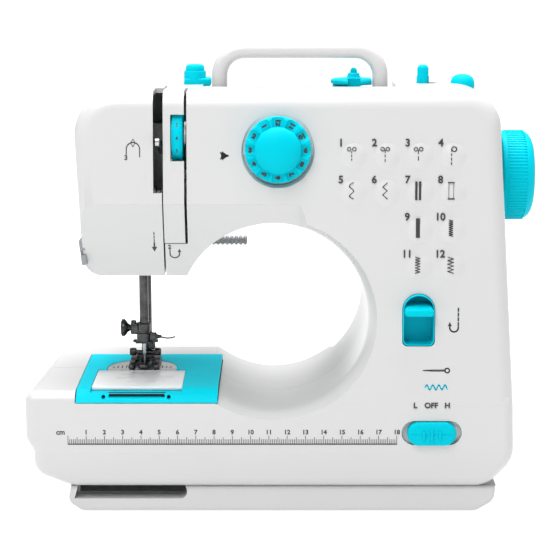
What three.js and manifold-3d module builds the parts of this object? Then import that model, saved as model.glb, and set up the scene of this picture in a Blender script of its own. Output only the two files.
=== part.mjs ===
// Compact free-arm style sewing machine: a two-part C-shaped plastic body on a pedestal with a drawer,
// a turquoise trim set, and the drive train, needle, presser, hook and feed parts inside it.
// Millimetres. +X is to the sewer's right, +Y is away from the sewer, +Z is up.
// The origin is under the middle of the machine, on the table.
import * as THREE from "three";
import { mergeVertices } from "three/addons/utils/BufferGeometryUtils.js";
import Module from "manifold-3d";

const wasm = await Module();
wasm.setup();

// ---------- driving dimensions ----------
const GAP = 0.3; // clearance between pieces that touch
const WALL = 2.6; // thickness of the moulded shells

const BASE_LEFT = -141; // left end of the bed
const BASE_RIGHT = 127; // widest point of the body on the right
const BASE_BOTTOM = 17; // lower edge of the shells, where the pedestal starts
const BED_TOP = 72; // sewing surface
const BASE_FRONT = -57;
const BASE_REAR = 60;

const HEAD_BOTTOM = 132; // underside of the head
const ARM_TOP = 234;
const HEAD_LEFT_LOW = -109;
const HEAD_LEFT_TOP = -114.6;
const COLUMN_RIGHT_LOW = 125.7;
const COLUMN_RIGHT_TOP = 116.6;
const ARM_FRONT_LOW = -57.2; // front and rear faces lean inwards as they rise
const ARM_FRONT_TOP = -40.8;
const ARM_REAR_LOW = 50;
const ARM_REAR_TOP = 40;
const ARM_LOW = 66; // height where the leaning faces start
const CREASE = 174; // height of the edge where the head's lower face turns inwards
const CREASE_FRONT = -46.6;
const HEAD_FRONT_BOTTOM = -31; // front of the head at its underside

const THROAT = { x: -5.5, z: 111, r: 52 };
const THROAT_RIM = { r: 60, front: -65, back: -43, lift: 7 }; // chamfer round the throat's front edge

const RECESS = { left: -45, right: 63, front: -5, floor: 222 }; // in the top, for the folded handle

const SHAFT = { y: 0, z: 184, r: 4 }; // upper main shaft
const LOWER = { y: 0, z: 40, r: 3.5 }; // lower shaft
const NEEDLE = { x: -80, y: 3 };
const PRESSER = { x: -79.2, y: 14 };
const HOOK = { x: -80.6, y: -17 };
const SLOT = { left: -69.9, seam: -65.6, right: -52.7, low: 180, bottom: 151, back: -16 };

const PEDESTAL = { left: -119.5, right: 118, front: -50, rear: 52, bottom: 2 };
const DRAWER = { right: -50, front: -38, rear: 40 };

// ---------- finishes ----------
const finish = (color, roughness, metalness) =>
  new THREE.MeshStandardMaterial({ color, roughness, metalness });
const WHITE = finish(0xf2f2f0, 0.35, 0);
const TURQUOISE = finish(0x00cfe6, 0.35, 0);
const STEEL = finish(0x9a9a9c, 0.3, 1);
const DARK_STEEL = finish(0x3c3c3e, 0.35, 1);
const BLACK = finish(0x111111, 0.6, 0);
const GREY = finish(0x8d8f90, 0.5, 0);
const CLEAR = finish(0xf4f6f6, 0.15, 0);
const IVORY = finish(0xe6e2d6, 0.5, 0);

// ---------- helpers ----------
// A closed geometry as a solid that can be cut and joined.
function solid(geometry) {
  const plain = geometry.index ? geometry.toNonIndexed() : geometry.clone();
  plain.deleteAttribute("normal");
  plain.deleteAttribute("uv");
  const merged = mergeVertices(plain, 1e-4);
  const triangles = [];
  for (let i = 0; i < merged.index.count; i += 3) {
    const [a, b, c] = merged.index.array.slice(i, i + 3);
    if (a !== b && b !== c && c !== a) triangles.push(a, b, c);
  }
  return new wasm.Manifold(
    new wasm.Mesh({
      numProp: 3,
      vertProperties: merged.attributes.position.array,
      triVerts: new Uint32Array(triangles),
    }),
  );
}

// Such a solid as a geometry again.
function surface(made) {
  const mesh = made.getMesh();
  return new THREE.BufferGeometry()
    .setAttribute("position", new THREE.BufferAttribute(mesh.vertProperties, 3))
    .setIndex(new THREE.BufferAttribute(mesh.triVerts, 1));
}

const joined = (...solids) => solids.reduce((a, b) => a.add(b));
const cut = (from, ...tools) => tools.reduce((a, b) => a.subtract(b), from);

function block(x0, x1, y0, y1, z0, z1) {
  const g = new THREE.BoxGeometry(x1 - x0, y1 - y0, z1 - z0);
  return g.translate((x0 + x1) / 2, (y0 + y1) / 2, (z0 + z1) / 2);
}
const blockSolid = (...limits) => solid(block(...limits));

// A cylinder or cone along an axis, from one place on it to another.
function rod(axis, from, to, r0, r1 = r0, sides = 20) {
  const g = new THREE.CylinderGeometry(r1, r0, to - from, sides);
  g.translate(0, (from + to) / 2, 0);
  if (axis === "x") g.rotateZ(-Math.PI / 2);
  if (axis === "z") g.rotateX(Math.PI / 2);
  return g;
}
const rodSolid = (axis, from, to, r0, r1, sides, x = 0, y = 0, z = 0) =>
  solid(rod(axis, from, to, r0, r1, sides).translate(x, y, z));

// A turned piece: profile points are [radius, place along the axis], outer wall going up the axis.
function turned(axis, profile, sides = 16) {
  const g = new THREE.LatheGeometry(profile.map(([r, h]) => new THREE.Vector2(r, h)), sides);
  if (axis === "x") g.rotateZ(-Math.PI / 2);
  if (axis === "z") g.rotateX(Math.PI / 2);
  return g;
}

// A polygon with rounded corners: each corner is [u, v, radius]. Inset moves every edge inwards.
function outline(corners, inset = 0, segments = 3) {
  const n = corners.length;
  const at = (i) => corners[(i + n) % n];
  let area = 0;
  for (let i = 0; i < n; i++) area += at(i)[0] * at(i + 1)[1] - at(i + 1)[0] * at(i)[1];
  const turn = Math.sign(area);
  const edge = (i) => {
    const [u0, v0] = at(i);
    const [u1, v1] = at(i + 1);
    const l = Math.hypot(u1 - u0, v1 - v0);
    const d = [(u1 - u0) / l, (v1 - v0) / l];
    return { p: [u0 - d[1] * turn * inset, v0 + d[0] * turn * inset], d };
  };
  const moved = corners.map(([, , r], i) => {
    const a = edge(i - 1);
    const b = edge(i);
    const cross = a.d[0] * b.d[1] - a.d[1] * b.d[0];
    const t = ((b.p[0] - a.p[0]) * b.d[1] - (b.p[1] - a.p[1]) * b.d[0]) / cross;
    const convex = cross * turn > 0;
    const radius = r === 0 ? 0 : Math.max(0.5, convex ? r - inset : r + inset);
    return [a.p[0] + a.d[0] * t, a.p[1] + a.d[1] * t, radius, Math.abs(Math.atan2(cross, a.d[0] * b.d[0] + a.d[1] * b.d[1]))];
  });
  const shape = new THREE.Shape();
  moved.forEach(([u, v, r, angle], i) => {
    const [up, vp] = moved[(i + n - 1) % n];
    const [un, vn] = moved[(i + 1) % n];
    const back = Math.hypot(up - u, vp - v);
    const ahead = Math.hypot(un - u, vn - v);
    const trim = Math.min(r * Math.tan(angle / 2), back * 0.49, ahead * 0.49);
    const start = [u + ((up - u) / back) * trim, v + ((vp - v) / back) * trim];
    const end = [u + ((un - u) / ahead) * trim, v + ((vn - v) / ahead) * trim];
    if (i === 0) shape.moveTo(...start);
    else shape.lineTo(...start);
    if (trim > 0) shape.quadraticCurveTo(u, v, ...end);
  });
  shape.closePath();
  return new THREE.Shape(shape.extractPoints(segments).shape);
}

// A front-view outline made solid from y0 to y1.
const slabY = (shape, y0, y1) =>
  new THREE.ExtrudeGeometry(shape, { depth: y1 - y0, bevelEnabled: false, curveSegments: 1 })
    .rotateX(Math.PI / 2)
    .translate(0, y1, 0);

// The same with the front and rear edges rounded: rings of the outline, each drawn in a little more.
function cushionY(corners, y0, y1, round, inset = 0, steps = 2) {
  const rings = [];
  for (let i = steps; i >= 0; i--) {
    const a = ((i / steps) * Math.PI) / 2;
    rings.push({ y: y0 + round * (1 - Math.sin(a)), inset: inset + round * (1 - Math.cos(a)) });
  }
  [...rings].reverse().forEach((ring) => rings.push({ y: y1 - (ring.y - y0), inset: ring.inset }));
  const loops = rings.map((ring) => outline(corners, ring.inset).getPoints());
  const count = loops[0].length;
  const turn = THREE.ShapeUtils.area(loops[0]) > 0 ? 1 : -1;
  const points = loops.flatMap((loop, k) => loop.flatMap((p) => [p.x, rings[k].y, p.y]));
  const faces = [];
  const face = (a, b, c) => faces.push(...(turn > 0 ? [a, b, c] : [a, c, b]));
  for (let k = 0; k + 1 < loops.length; k++) {
    for (let i = 0; i < count; i++) {
      const j = (i + 1) % count;
      face(k * count + i, (k + 1) * count + j, k * count + j);
      face(k * count + i, (k + 1) * count + i, (k + 1) * count + j);
    }
  }
  const last = (loops.length - 1) * count;
  THREE.ShapeUtils.triangulateShape(loops[0], []).forEach(([a, b, c]) => {
    faces.push(a, b, c);
  });
  THREE.ShapeUtils.triangulateShape(loops[loops.length - 1], []).forEach(([a, b, c]) => {
    faces.push(last + a, last + c, last + b);
  });
  const g = new THREE.BufferGeometry();
  g.setAttribute("position", new THREE.Float32BufferAttribute(points, 3));
  return g.setIndex(faces);
}

// A plan-view outline made solid from z0 to z1.
const slabZ = (shape, z0, z1) =>
  new THREE.ExtrudeGeometry(shape, { depth: z1 - z0, bevelEnabled: false, curveSegments: 6 }).translate(0, 0, z0);

// A side-view outline (y, z) made solid from x0 to x1.
const slabX = (shape, x0, x1) =>
  new THREE.ExtrudeGeometry(shape, { depth: x1 - x0, bevelEnabled: false, curveSegments: 6 })
    .rotateX(Math.PI / 2)
    .rotateZ(Math.PI / 2)
    .translate(x0, 0, 0);

// A stadium: a slot with round ends, its middle at (u, v).
function stadium(u, v, width, height, segments = 8) {
  const r = Math.min(width, height) / 2;
  return outline(
    [
      [u - width / 2, v - height / 2, r],
      [u + width / 2, v - height / 2, r],
      [u + width / 2, v + height / 2, r],
      [u - width / 2, v + height / 2, r],
    ],
    0,
    segments,
  );
}

// A toothed disc's outline.
function teeth(count, root, tip) {
  const shape = new THREE.Shape();
  const step = (2 * Math.PI) / count;
  for (let i = 0; i < count; i++) {
    [[0, root], [0.3, tip], [0.6, tip], [0.9, root]].forEach(([share, r], k) => {
      const a = (i + share) * step;
      const point = [r * Math.cos(a), r * Math.sin(a)];
      if (i === 0 && k === 0) shape.moveTo(...point);
      else shape.lineTo(...point);
    });
  }
  return shape;
}

// A round bar swept along a curve.
function swept(curve, radius, steps, sides = 10) {
  const section = new THREE.Shape();
  for (let i = 0; i < sides; i++) {
    const a = (2 * Math.PI * i) / sides;
    if (i === 0) section.moveTo(radius, 0);
    else section.lineTo(radius * Math.cos(a), radius * Math.sin(a));
  }
  return new THREE.ExtrudeGeometry(section, { steps, extrudePath: curve, bevelEnabled: false });
}

const machine = new THREE.Group();
function add(name, geometry, material, x = 0, y = 0, z = 0) {
  const mesh = new THREE.Mesh(geometry instanceof wasm.Manifold ? surface(geometry) : geometry, material);
  mesh.name = name;
  mesh.position.set(x, y, z);
  machine.add(mesh);
  return mesh;
}

// ---------- body shells ----------
// Leaning of the front and rear faces: y scales with height above ARM_LOW.
function lean(geometry) {
  const p = geometry.attributes.position;
  const rise = ARM_TOP - ARM_LOW;
  for (let i = 0; i < p.count; i++) {
    const t = (p.getZ(i) - ARM_LOW) / rise;
    const y = p.getY(i);
    const low = y < 0 ? ARM_FRONT_LOW : ARM_REAR_LOW;
    const top = y < 0 ? ARM_FRONT_TOP : ARM_REAR_TOP;
    p.setY(i, (y * (low + (top - low) * t)) / low);
  }
  return geometry;
}

const UPPER_CORNERS = [
  [COLUMN_RIGHT_LOW, ARM_LOW, 0],
  [COLUMN_RIGHT_TOP, ARM_TOP, 20],
  [HEAD_LEFT_TOP, ARM_TOP, 24],
  [HEAD_LEFT_LOW, HEAD_BOTTOM, 7],
  [THROAT.x, HEAD_BOTTOM, 0],
  [THROAT.x, ARM_LOW, 0],
];
const BASE_CORNERS = [
  [BASE_LEFT, BED_TOP, 5],
  [BASE_LEFT, 40, 2],
  [BASE_LEFT + 3, 34, 2],
  [BASE_LEFT + 3, 24, 8],
  [BASE_LEFT + 24, BASE_BOTTOM, 14],
  [BASE_RIGHT - 15, BASE_BOTTOM, 10],
  [BASE_RIGHT, 34, 16],
  [BASE_RIGHT - 1.5, BED_TOP, 0],
];

// The whole body as one block. Inset makes the hollow inside the walls.
function bodyBlock(inset) {
  const round = 9 - inset;
  const upper = solid(
    lean(cushionY(UPPER_CORNERS, ARM_FRONT_LOW + inset, ARM_REAR_LOW - inset, round, inset)),
  );
  const base = solid(cushionY(BASE_CORNERS, BASE_FRONT + inset, BASE_REAR - inset, round, inset));
  const r = THROAT.r + inset;
  const throat = rodSolid("y", -80, 80, r, r, 32, THROAT.x, 0, THROAT.z);
  const cone = rod("y", THROAT_RIM.front + inset, THROAT_RIM.back + inset, THROAT_RIM.r + inset, r, 32);
  const places = cone.attributes.position;
  for (let i = 0; i < places.count; i++) {
    const share = (THROAT_RIM.back + inset - places.getY(i)) / (THROAT_RIM.back - THROAT_RIM.front);
    places.setZ(i, places.getZ(i) + THROAT_RIM.lift * share);
  }
  const rim = solid(cone.translate(THROAT.x, 0, THROAT.z));
  const slope = (CREASE - HEAD_BOTTOM) / (HEAD_FRONT_BOTTOM - CREASE_FRONT);
  const wedge = new THREE.Shape([
    [CREASE_FRONT + inset, CREASE],
    [HEAD_FRONT_BOTTOM + inset + 20 / slope, HEAD_BOTTOM - 20],
    [-90, HEAD_BOTTOM - 20],
    [-90, CREASE],
  ].map(([y, z]) => new THREE.Vector2(y, z)));
  const underHead = blockSolid(-150, -20, -90, 90, 100, HEAD_BOTTOM - 10);
  const wedgeSolid = solid(slabX(wedge, -150, THROAT.x)).subtract(underHead);
  return cut(joined(upper, base), throat, rim, wedgeSolid);
}

const mouth = blockSolid(
  BASE_LEFT + 12,
  BASE_RIGHT - 22,
  BASE_FRONT + 12,
  BASE_REAR - 12,
  BASE_BOTTOM - 5,
  BASE_BOTTOM + 6,
); // open underside, closed by the pedestal
const recess = (grow) =>
  blockSolid(RECESS.left - grow, RECESS.right + grow, RECESS.front - grow, 90, RECESS.floor - grow, 260);
const recessed = bodyBlock(0).subtract(recess(0));
const hollow = bodyBlock(WALL).subtract(recess(WALL));
const shell = cut(recessed, hollow, mouth);

const frontHalf = blockSolid(-200, 200, -100, -GAP / 2, -10, 300);
const rearHalf = blockSolid(-200, 200, GAP / 2, 100, -10, 300);
const headLeft = blockSolid(-200, SLOT.seam, -100, 0, HEAD_BOTTOM - 10, 300);
const headSeam = blockSolid(-200, SLOT.seam + GAP, -100, 0, HEAD_BOTTOM - 10, 300);

const DIAL = { x: -3, z: 203.6, r: 18.4 };
const POCKET = { x: 73.4, z: 111.5, width: 17.2, height: 28.2 };
const SWITCH = { x: 81.1, z: 49.2, width: 33, height: 13.6, travel: 2.8 };
const WHEEL = { left: 121.2, right: 141, r: 24.8 };
const SOCKET = { x: 126.1, y: 26, zPower: 52, zPedal: 36 };
const WINDER = { x: 79.4, y: 20, travel: 4.5 };
const SPOOL = { x: 38.8, y: 10 };

const pocketShape = (grow) =>
  outline(
    [
      [POCKET.x - POCKET.width / 2 - grow, POCKET.z - POCKET.height / 2 - grow, 3],
      [POCKET.x + POCKET.width / 2 + grow, POCKET.z - POCKET.height / 2 - grow, 3],
      [POCKET.x + POCKET.width / 2 + grow, POCKET.z + POCKET.height / 2 + grow, 8.4],
      [POCKET.x - POCKET.width / 2 - grow, POCKET.z + POCKET.height / 2 + grow, 8.4],
    ],
    0,
    4,
  );

const COVER = { left: -113.6, right: -36, front: -45.5, rear: 33, thick: 2.2 };
const WINDOW = { left: -105.8, right: -55.8, front: -45.2, rear: -6.4 };
const PLATE = { x: -81, y: -1.2, r: 20, front: -6.1 };

const barOpening = blockSolid(-90, -70, -5, 22, HEAD_BOTTOM - 4, HEAD_BOTTOM + 8);
const shaftHole = rodSolid("x", 100, 140, SHAFT.r + 1.5, SHAFT.r + 1.5, 16, 0, SHAFT.y, SHAFT.z);
const bedOpening = blockSolid(
  COVER.left - GAP,
  COVER.right + GAP,
  BASE_FRONT + 12,
  COVER.rear + GAP,
  BED_TOP - 8,
  BED_TOP + 5,
);
const bedStep = blockSolid(
  COVER.left - GAP,
  COVER.right + GAP,
  BASE_FRONT - 3,
  BASE_FRONT + 13,
  BED_TOP - 6.2,
  BED_TOP + 5,
);
const LAMP = { x: -97, y: 6, r: 4.5 };
const lampHole = rodSolid("z", HEAD_BOTTOM - 5, HEAD_BOTTOM + 8, LAMP.r + GAP, LAMP.r + GAP, 16, LAMP.x, LAMP.y);

const dialSeat = rodSolid("y", -41.6, -37, DIAL.r + 3, DIAL.r + 3, 20, DIAL.x, 0, DIAL.z);
const frontBody = cut(
  shell.intersect(frontHalf).add(dialSeat),
  barOpening,
  shaftHole,
  bedOpening,
  bedStep,
  lampHole,
  rodSolid("y", -70, -42.1, DIAL.r + 0.9, DIAL.r + 0.9, 24, DIAL.x, 0, DIAL.z),
  rodSolid("y", -70, -20, 5, 5, 20, DIAL.x, 0, DIAL.z),
  solid(slabY(pocketShape(GAP), -70, -30)),
  solid(slabY(stadium(SWITCH.x, SWITCH.z, SWITCH.width, SWITCH.height), -70, -50)),
);
const strip = { left: SLOT.seam + GAP, right: SLOT.right - 0.7 };
const faceCover = cut(
  frontBody.intersect(headLeft),
  blockSolid(SLOT.left, SLOT.seam + 5, -90, SLOT.back, SLOT.low, 260),
);
const frontShell = cut(
  frontBody.subtract(headSeam),
  blockSolid(SLOT.seam - 5, SLOT.right, -90, SLOT.back, SLOT.bottom, 260),
);
add("face_cover", faceCover, WHITE);
add("front_shell", frontShell, WHITE);

// The strip between the two thread channels follows the front of the head and wraps over its top.
const stripBlock = bodyBlock(0.2)
  .subtract(bodyBlock(3.2))
  .intersect(blockSolid(strip.left, strip.right, -90, SLOT.back - GAP, SLOT.bottom + GAP, 260));
const TENSION = { x: -57.4, y: -28.6, z: 209.5, r: 16, half: 3.1 };
add(
  "channel_strip",
  cut(stripBlock, blockSolid(TENSION.x - TENSION.half - 0.6, 0, -90, 0, TENSION.z - 15, TENSION.z + 15)),
  WHITE,
);

const HANDLE = { left: -35.7, right: 54.1, y: 3.2, z: 229, top: 253.4, r: 4.3, corner: 17, pin: 2.4 };
const LIFTER = { x: -64, z: 150 };
const rearShell = cut(
  shell.intersect(rearHalf),
  barOpening,
  shaftHole,
  bedOpening,
  lampHole,
  rodSolid("x", RECESS.left - 4, RECESS.right + 4, HANDLE.pin + 0.2, HANDLE.pin + 0.2, 14, 0, HANDLE.y, HANDLE.z),
  rodSolid("y", 30, 70, 4, 4, 14, LIFTER.x, 0, LIFTER.z),
  rodSolid("z", 200, 240, 3.5 + GAP, 3.5 + GAP, 16, SPOOL.x, SPOOL.y),
  solid(slabZ(stadium(WINDER.x + WINDER.travel / 2, WINDER.y, 7.4 + WINDER.travel, 7.4, 4), 220, 240)),
  rodSolid("x", 112, 140, 4 + GAP, 4 + GAP, 16, 0, SOCKET.y, SOCKET.zPower),
  rodSolid("x", 112, 140, 4 + GAP, 4 + GAP, 16, 0, SOCKET.y, SOCKET.zPedal),
);
add("rear_shell", rearShell, WHITE);

// ---------- pedestal, drawer and feet ----------
const PEDESTAL_TOP = BASE_BOTTOM - GAP;
const PEDESTAL_CORNERS = [
  [PEDESTAL.left, PEDESTAL_TOP, 1],
  [PEDESTAL.left, 8, 6],
  [PEDESTAL.left + 22, PEDESTAL.bottom, 14],
  [PEDESTAL.right - 16, PEDESTAL.bottom, 12],
  [PEDESTAL.right, 8, 5],
  [PEDESTAL.right, PEDESTAL_TOP, 1],
];
const drawerBay = blockSolid(
  PEDESTAL.left - 10,
  DRAWER.right + 2,
  DRAWER.front - 0.6,
  DRAWER.rear + 0.6,
  PEDESTAL.bottom + 2,
  PEDESTAL_TOP + 5,
);
const fingerSlot = solid(
  slabY(stadium(-82.3, 15.6, 56, 13), PEDESTAL.front - 5, DRAWER.front + 1),
);
add(
  "pedestal",
  cut(solid(cushionY(PEDESTAL_CORNERS, PEDESTAL.front, PEDESTAL.rear, 2)), drawerBay, fingerSlot),
  WHITE,
);
const tray = cut(
  blockSolid(PEDESTAL.left + 1.5, DRAWER.right, DRAWER.front, DRAWER.rear, PEDESTAL.bottom + 2.3, PEDESTAL_TOP - 0.4),
  blockSolid(PEDESTAL.left + 5, DRAWER.right - 2, DRAWER.front + 2, DRAWER.rear - 2, PEDESTAL.bottom + 4, 40),
);
add("drawer", tray, WHITE);

const FOOT = { r: 6, x: 96, y: 32 };
[
  ["foot_front_left", -FOOT.x, -FOOT.y],
  ["foot_front_right", FOOT.x, -FOOT.y],
  ["foot_rear_left", -FOOT.x, FOOT.y + 3],
  ["foot_rear_right", FOOT.x, FOOT.y + 3],
].forEach(([name, x, y]) => {
  add(name, turned("z", [[0, 0], [FOOT.r - 1, 0], [FOOT.r, 1], [FOOT.r, 1.7], [0, 1.7]], 16), BLACK, x, y, 0);
});

// ---------- bed ----------
const PLATE_HOLE = new THREE.Shape();
const CHORD = Math.asin((PLATE.y - PLATE.front) / PLATE.r); // the plate is a disc cut off along the window
PLATE_HOLE.absarc(PLATE.x, PLATE.y, PLATE.r + GAP, -CHORD, Math.PI + CHORD, false);
PLATE_HOLE.lineTo(PLATE.x - PLATE.r + 1, PLATE.front - 2);
PLATE_HOLE.lineTo(PLATE.x + PLATE.r - 1, PLATE.front - 2);
const coverProfile = new THREE.Shape(
  [
    [COVER.rear, BED_TOP],
    [COVER.front, BED_TOP],
    [BASE_FRONT + 5, BED_TOP - 1.8],
    [BASE_FRONT + 2, BED_TOP - 3.6],
    [BASE_FRONT + 0.4, BED_TOP - 5.8],
    [BASE_FRONT + 11, BED_TOP - 5.8],
    [BASE_FRONT + 12.5, BED_TOP - COVER.thick],
    [COVER.rear, BED_TOP - COVER.thick],
  ].map(([y, z]) => new THREE.Vector2(y, z)),
);
add(
  "bed_cover",
  cut(
    solid(slabX(coverProfile, COVER.left, COVER.right)),
    blockSolid(WINDOW.left - GAP, WINDOW.right + GAP, WINDOW.front - GAP, WINDOW.rear, 60, 80),
    blockSolid(WINDOW.left - GAP, WINDOW.right + GAP, -70, WINDOW.front, BED_TOP - 1.9, 80),
    solid(slabZ(PLATE_HOLE, 60, 80)),
    blockSolid(-96, -64.5, BASE_FRONT - 2, BASE_FRONT + 6.4, 68.1, 70),
    rodSolid("y", -60, -49.5, 1.1, 1.1, 10, -98.5, 0, 68.7),
    rodSolid("y", -60, -49.5, 1.1, 1.1, 10, -62.7, 0, 68.7),
  ),
  TURQUOISE,
);

// The slots let the needle swing and the feed dog travel.
const plateShape = new THREE.Shape();
plateShape.absarc(PLATE.x, PLATE.y, PLATE.r, -CHORD, Math.PI + CHORD, false);
const FEED = { front: 7.5, rear: 16, rows: [-85, -75], width: 2 };
add(
  "needle_plate",
  cut(
    solid(slabZ(plateShape, BED_TOP - 1.6, BED_TOP)),
    solid(slabZ(stadium(NEEDLE.x, NEEDLE.y, 8, 2.2, 4), 60, 80)),
    ...FEED.rows.map((x) =>
      blockSolid(x - FEED.width / 2 - 0.4, x + FEED.width / 2 + 0.4, FEED.front - 2, FEED.rear + 2, 60, 80),
    ),
  ),
  STEEL,
);
add(
  "bobbin_cover",
  block(WINDOW.left, WINDOW.right, WINDOW.front, WINDOW.rear - GAP, BED_TOP - 1.6, BED_TOP),
  CLEAR,
);

// ---------- hook, bobbin and feed ----------
const HOOK_TOP = 64;
add(
  "rotary_hook",
  joined(
    solid(
      turned("z", [[0, 48], [18.6, 48], [18.6, HOOK_TOP], [17, HOOK_TOP], [17, 50], [0, 50]], 18),
    ),
    solid(slabZ(teeth(10, 6.4, 7.8), 35, 45)),
    rodSolid("z", 28, 48.5, 3, 3, 12),
  ),
  STEEL,
  HOOK.x,
  HOOK.y,
);
add(
  "bobbin_case",
  turned("z", [[0, 50.6], [16.4, 50.6], [16.4, 65.5], [12, 65.5], [12, 52.6], [0, 52.6]], 18),
  BLACK,
  HOOK.x,
  HOOK.y,
);
add(
  "bobbin",
  turned(
    "z",
    [[3, 53.2], [10.2, 53.2], [10.2, 54.2], [8.4, 54.2], [8.4, 63.6], [10.2, 63.6], [10.2, 64.6], [3, 64.6], [3, 53.2]],
    16,
  ),
  CLEAR,
  HOOK.x,
  HOOK.y,
);
add(
  "feed_bar",
  joined(
    blockSolid(-96, -64, 9, 14, 54, 59.7),
    blockSolid(-96, -92, 9, 26, 54, 59.7),
    blockSolid(-68, -64, 9, 26, 54, 59.7),
  ),
  STEEL,
);
add(
  "feed_dog",
  joined(
    blockSolid(-87, -71, FEED.front, FEED.rear, 60, 65),
    ...FEED.rows.map((x) =>
      blockSolid(x - FEED.width / 2, x + FEED.width / 2, FEED.front, FEED.rear, 64.5, BED_TOP + 0.3),
    ),
  ),
  STEEL,
);

// ---------- drive train ----------
const PULLEY = { x: 107.5, big: 18, small: 4 };
const MOTOR = { y: 20, z: 50, r: 13.8 };
const TIMING = { x: 64, r: 7 };
const CAM = { x: 24, z: SHAFT.z + 6 + 0.6 + 13.4, teeth: 14, r: 13.4 };
const wormProfile = [
  [0, -11],
  ...[-9.2, -5.5, -1.8, 1.9, 5.6].flatMap((h) => [[4.8, h], [5.9, h + 1], [5.9, h + 1.8], [4.8, h + 2.8]]),
  [4.8, 11],
  [0, 11],
];
add(
  "main_shaft",
  joined(rodSolid("x", -58, 138, SHAFT.r, SHAFT.r, 12), solid(turned("x", wormProfile, 10).translate(CAM.x, 0, 0))),
  STEEL,
  0,
  SHAFT.y,
  SHAFT.z,
);
const grooved = (r, half) => [
  [SHAFT.r + GAP, -half], [r, -half], [r, -half + 1.2], [r - 1.6, 0], [r, half - 1.2], [r, half],
  [SHAFT.r + GAP, half], [SHAFT.r + GAP, -half],
];
add("shaft_pulley", turned("x", grooved(PULLEY.big, 4)), GREY, PULLEY.x, SHAFT.y, SHAFT.z);
const CRANK = { x0: -62.6, x1: -58.3, r: 14, throw: 10.5 };
add(
  "crank_disc",
  joined(
    rodSolid("x", CRANK.x0, CRANK.x1, CRANK.r, CRANK.r, 24),
    rodSolid("x", CRANK.x0 - 9, CRANK.x0 + 1, 2, 2, 12, 0, 0, -CRANK.throw),
  ),
  STEEL,
  0,
  SHAFT.y,
  SHAFT.z,
);
const wheelProfile = [
  [SHAFT.r + GAP, WHEEL.left], [WHEEL.r - 1.2, WHEEL.left], [WHEEL.r, WHEEL.left + 1.2],
  [WHEEL.r, WHEEL.right - 5], [WHEEL.r - 1.6, WHEEL.right - 1.6], [WHEEL.r - 5, WHEEL.right],
  [5.5, WHEEL.right], [5.5, WHEEL.right - 2], [SHAFT.r + GAP, WHEEL.right - 2], [SHAFT.r + GAP, WHEEL.left],
];
add("hand_wheel", turned("x", wheelProfile, 24), TURQUOISE, 0, SHAFT.y, SHAFT.z);
const bushProfile = [
  [SHAFT.r + GAP, -4], [7, -4], [7, 4], [SHAFT.r + GAP, 4], [SHAFT.r + GAP, -4],
];
const BUSHES = { left: -48, right: 92 };
add("shaft_bush_left", turned("x", bushProfile, 16), IVORY, BUSHES.left, SHAFT.y, SHAFT.z);
add("shaft_bush_right", turned("x", bushProfile, 16), IVORY, BUSHES.right, SHAFT.y, SHAFT.z);

add(
  "motor",
  joined(
    rodSolid("x", PULLEY.x - 38, PULLEY.x - 9, MOTOR.r, MOTOR.r, 20),
    rodSolid("x", PULLEY.x - 9.5, PULLEY.x - 6, 5, 5, 16),
  ),
  DARK_STEEL,
  0,
  MOTOR.y,
  MOTOR.z,
);
add(
  "motor_pulley",
  turned("x", [[0, -5], [PULLEY.small + 1.2, -5], [PULLEY.small, -2], [PULLEY.small, 2], [PULLEY.small + 1.2, 5], [0, 5]], 14),
  STEEL,
  PULLEY.x,
  MOTOR.y,
  MOTOR.z,
);

// A belt round two pulleys in a plane across X.
function belt(x, width, a, b, thick) {
  const dy = b.y - a.y;
  const dz = b.z - a.z;
  const far = Math.hypot(dy, dz);
  const along = Math.atan2(dz, dy);
  const wrap = Math.acos((a.r - b.r) / far);
  const loop = (extra) => {
    const path = new THREE.Shape();
    path.absarc(a.y, a.z, a.r + extra, along + wrap, along - wrap + 2 * Math.PI, false);
    path.absarc(b.y, b.z, b.r + extra, along - wrap, along + wrap, false);
    return solid(slabX(path, x - width / 2, x + width / 2));
  };
  return loop(thick).subtract(loop(0));
}
add(
  "drive_belt",
  belt(
    PULLEY.x,
    2,
    { y: SHAFT.y, z: SHAFT.z, r: PULLEY.big + GAP },
    { y: MOTOR.y, z: MOTOR.z, r: PULLEY.small + 1.2 + GAP },
    1.6,
  ),
  BLACK,
);
add(
  "timing_belt",
  belt(
    TIMING.x,
    6,
    { y: SHAFT.y, z: SHAFT.z, r: TIMING.r + GAP },
    { y: LOWER.y, z: LOWER.z, r: TIMING.r + GAP },
    1.4,
  ),
  BLACK,
);
const timingProfile = (bore) => [
  [bore, -5], [TIMING.r + 2, -5], [TIMING.r + 2, -3.6], [TIMING.r, -3.6], [TIMING.r, 3.6],
  [TIMING.r + 2, 3.6], [TIMING.r + 2, 5], [bore, 5], [bore, -5],
];
add("timing_pulley", turned("x", timingProfile(SHAFT.r + GAP), 12), IVORY, TIMING.x, SHAFT.y, SHAFT.z);
add(
  "lower_shaft",
  joined(
    rodSolid("x", -96, 67.5, LOWER.r, LOWER.r, 10),
    solid(turned("x", timingProfile(LOWER.r - 0.5), 12).translate(TIMING.x, 0, 0)),
    solid(
      new THREE.ExtrudeGeometry(teeth(20, 6.4, 7.6), { depth: 12, bevelEnabled: false })
        .rotateY(Math.PI / 2)
        .translate(HOOK.x - 6, 0, 0),
    ),
  ),
  STEEL,
  0,
  LOWER.y,
  LOWER.z,
);

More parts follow.
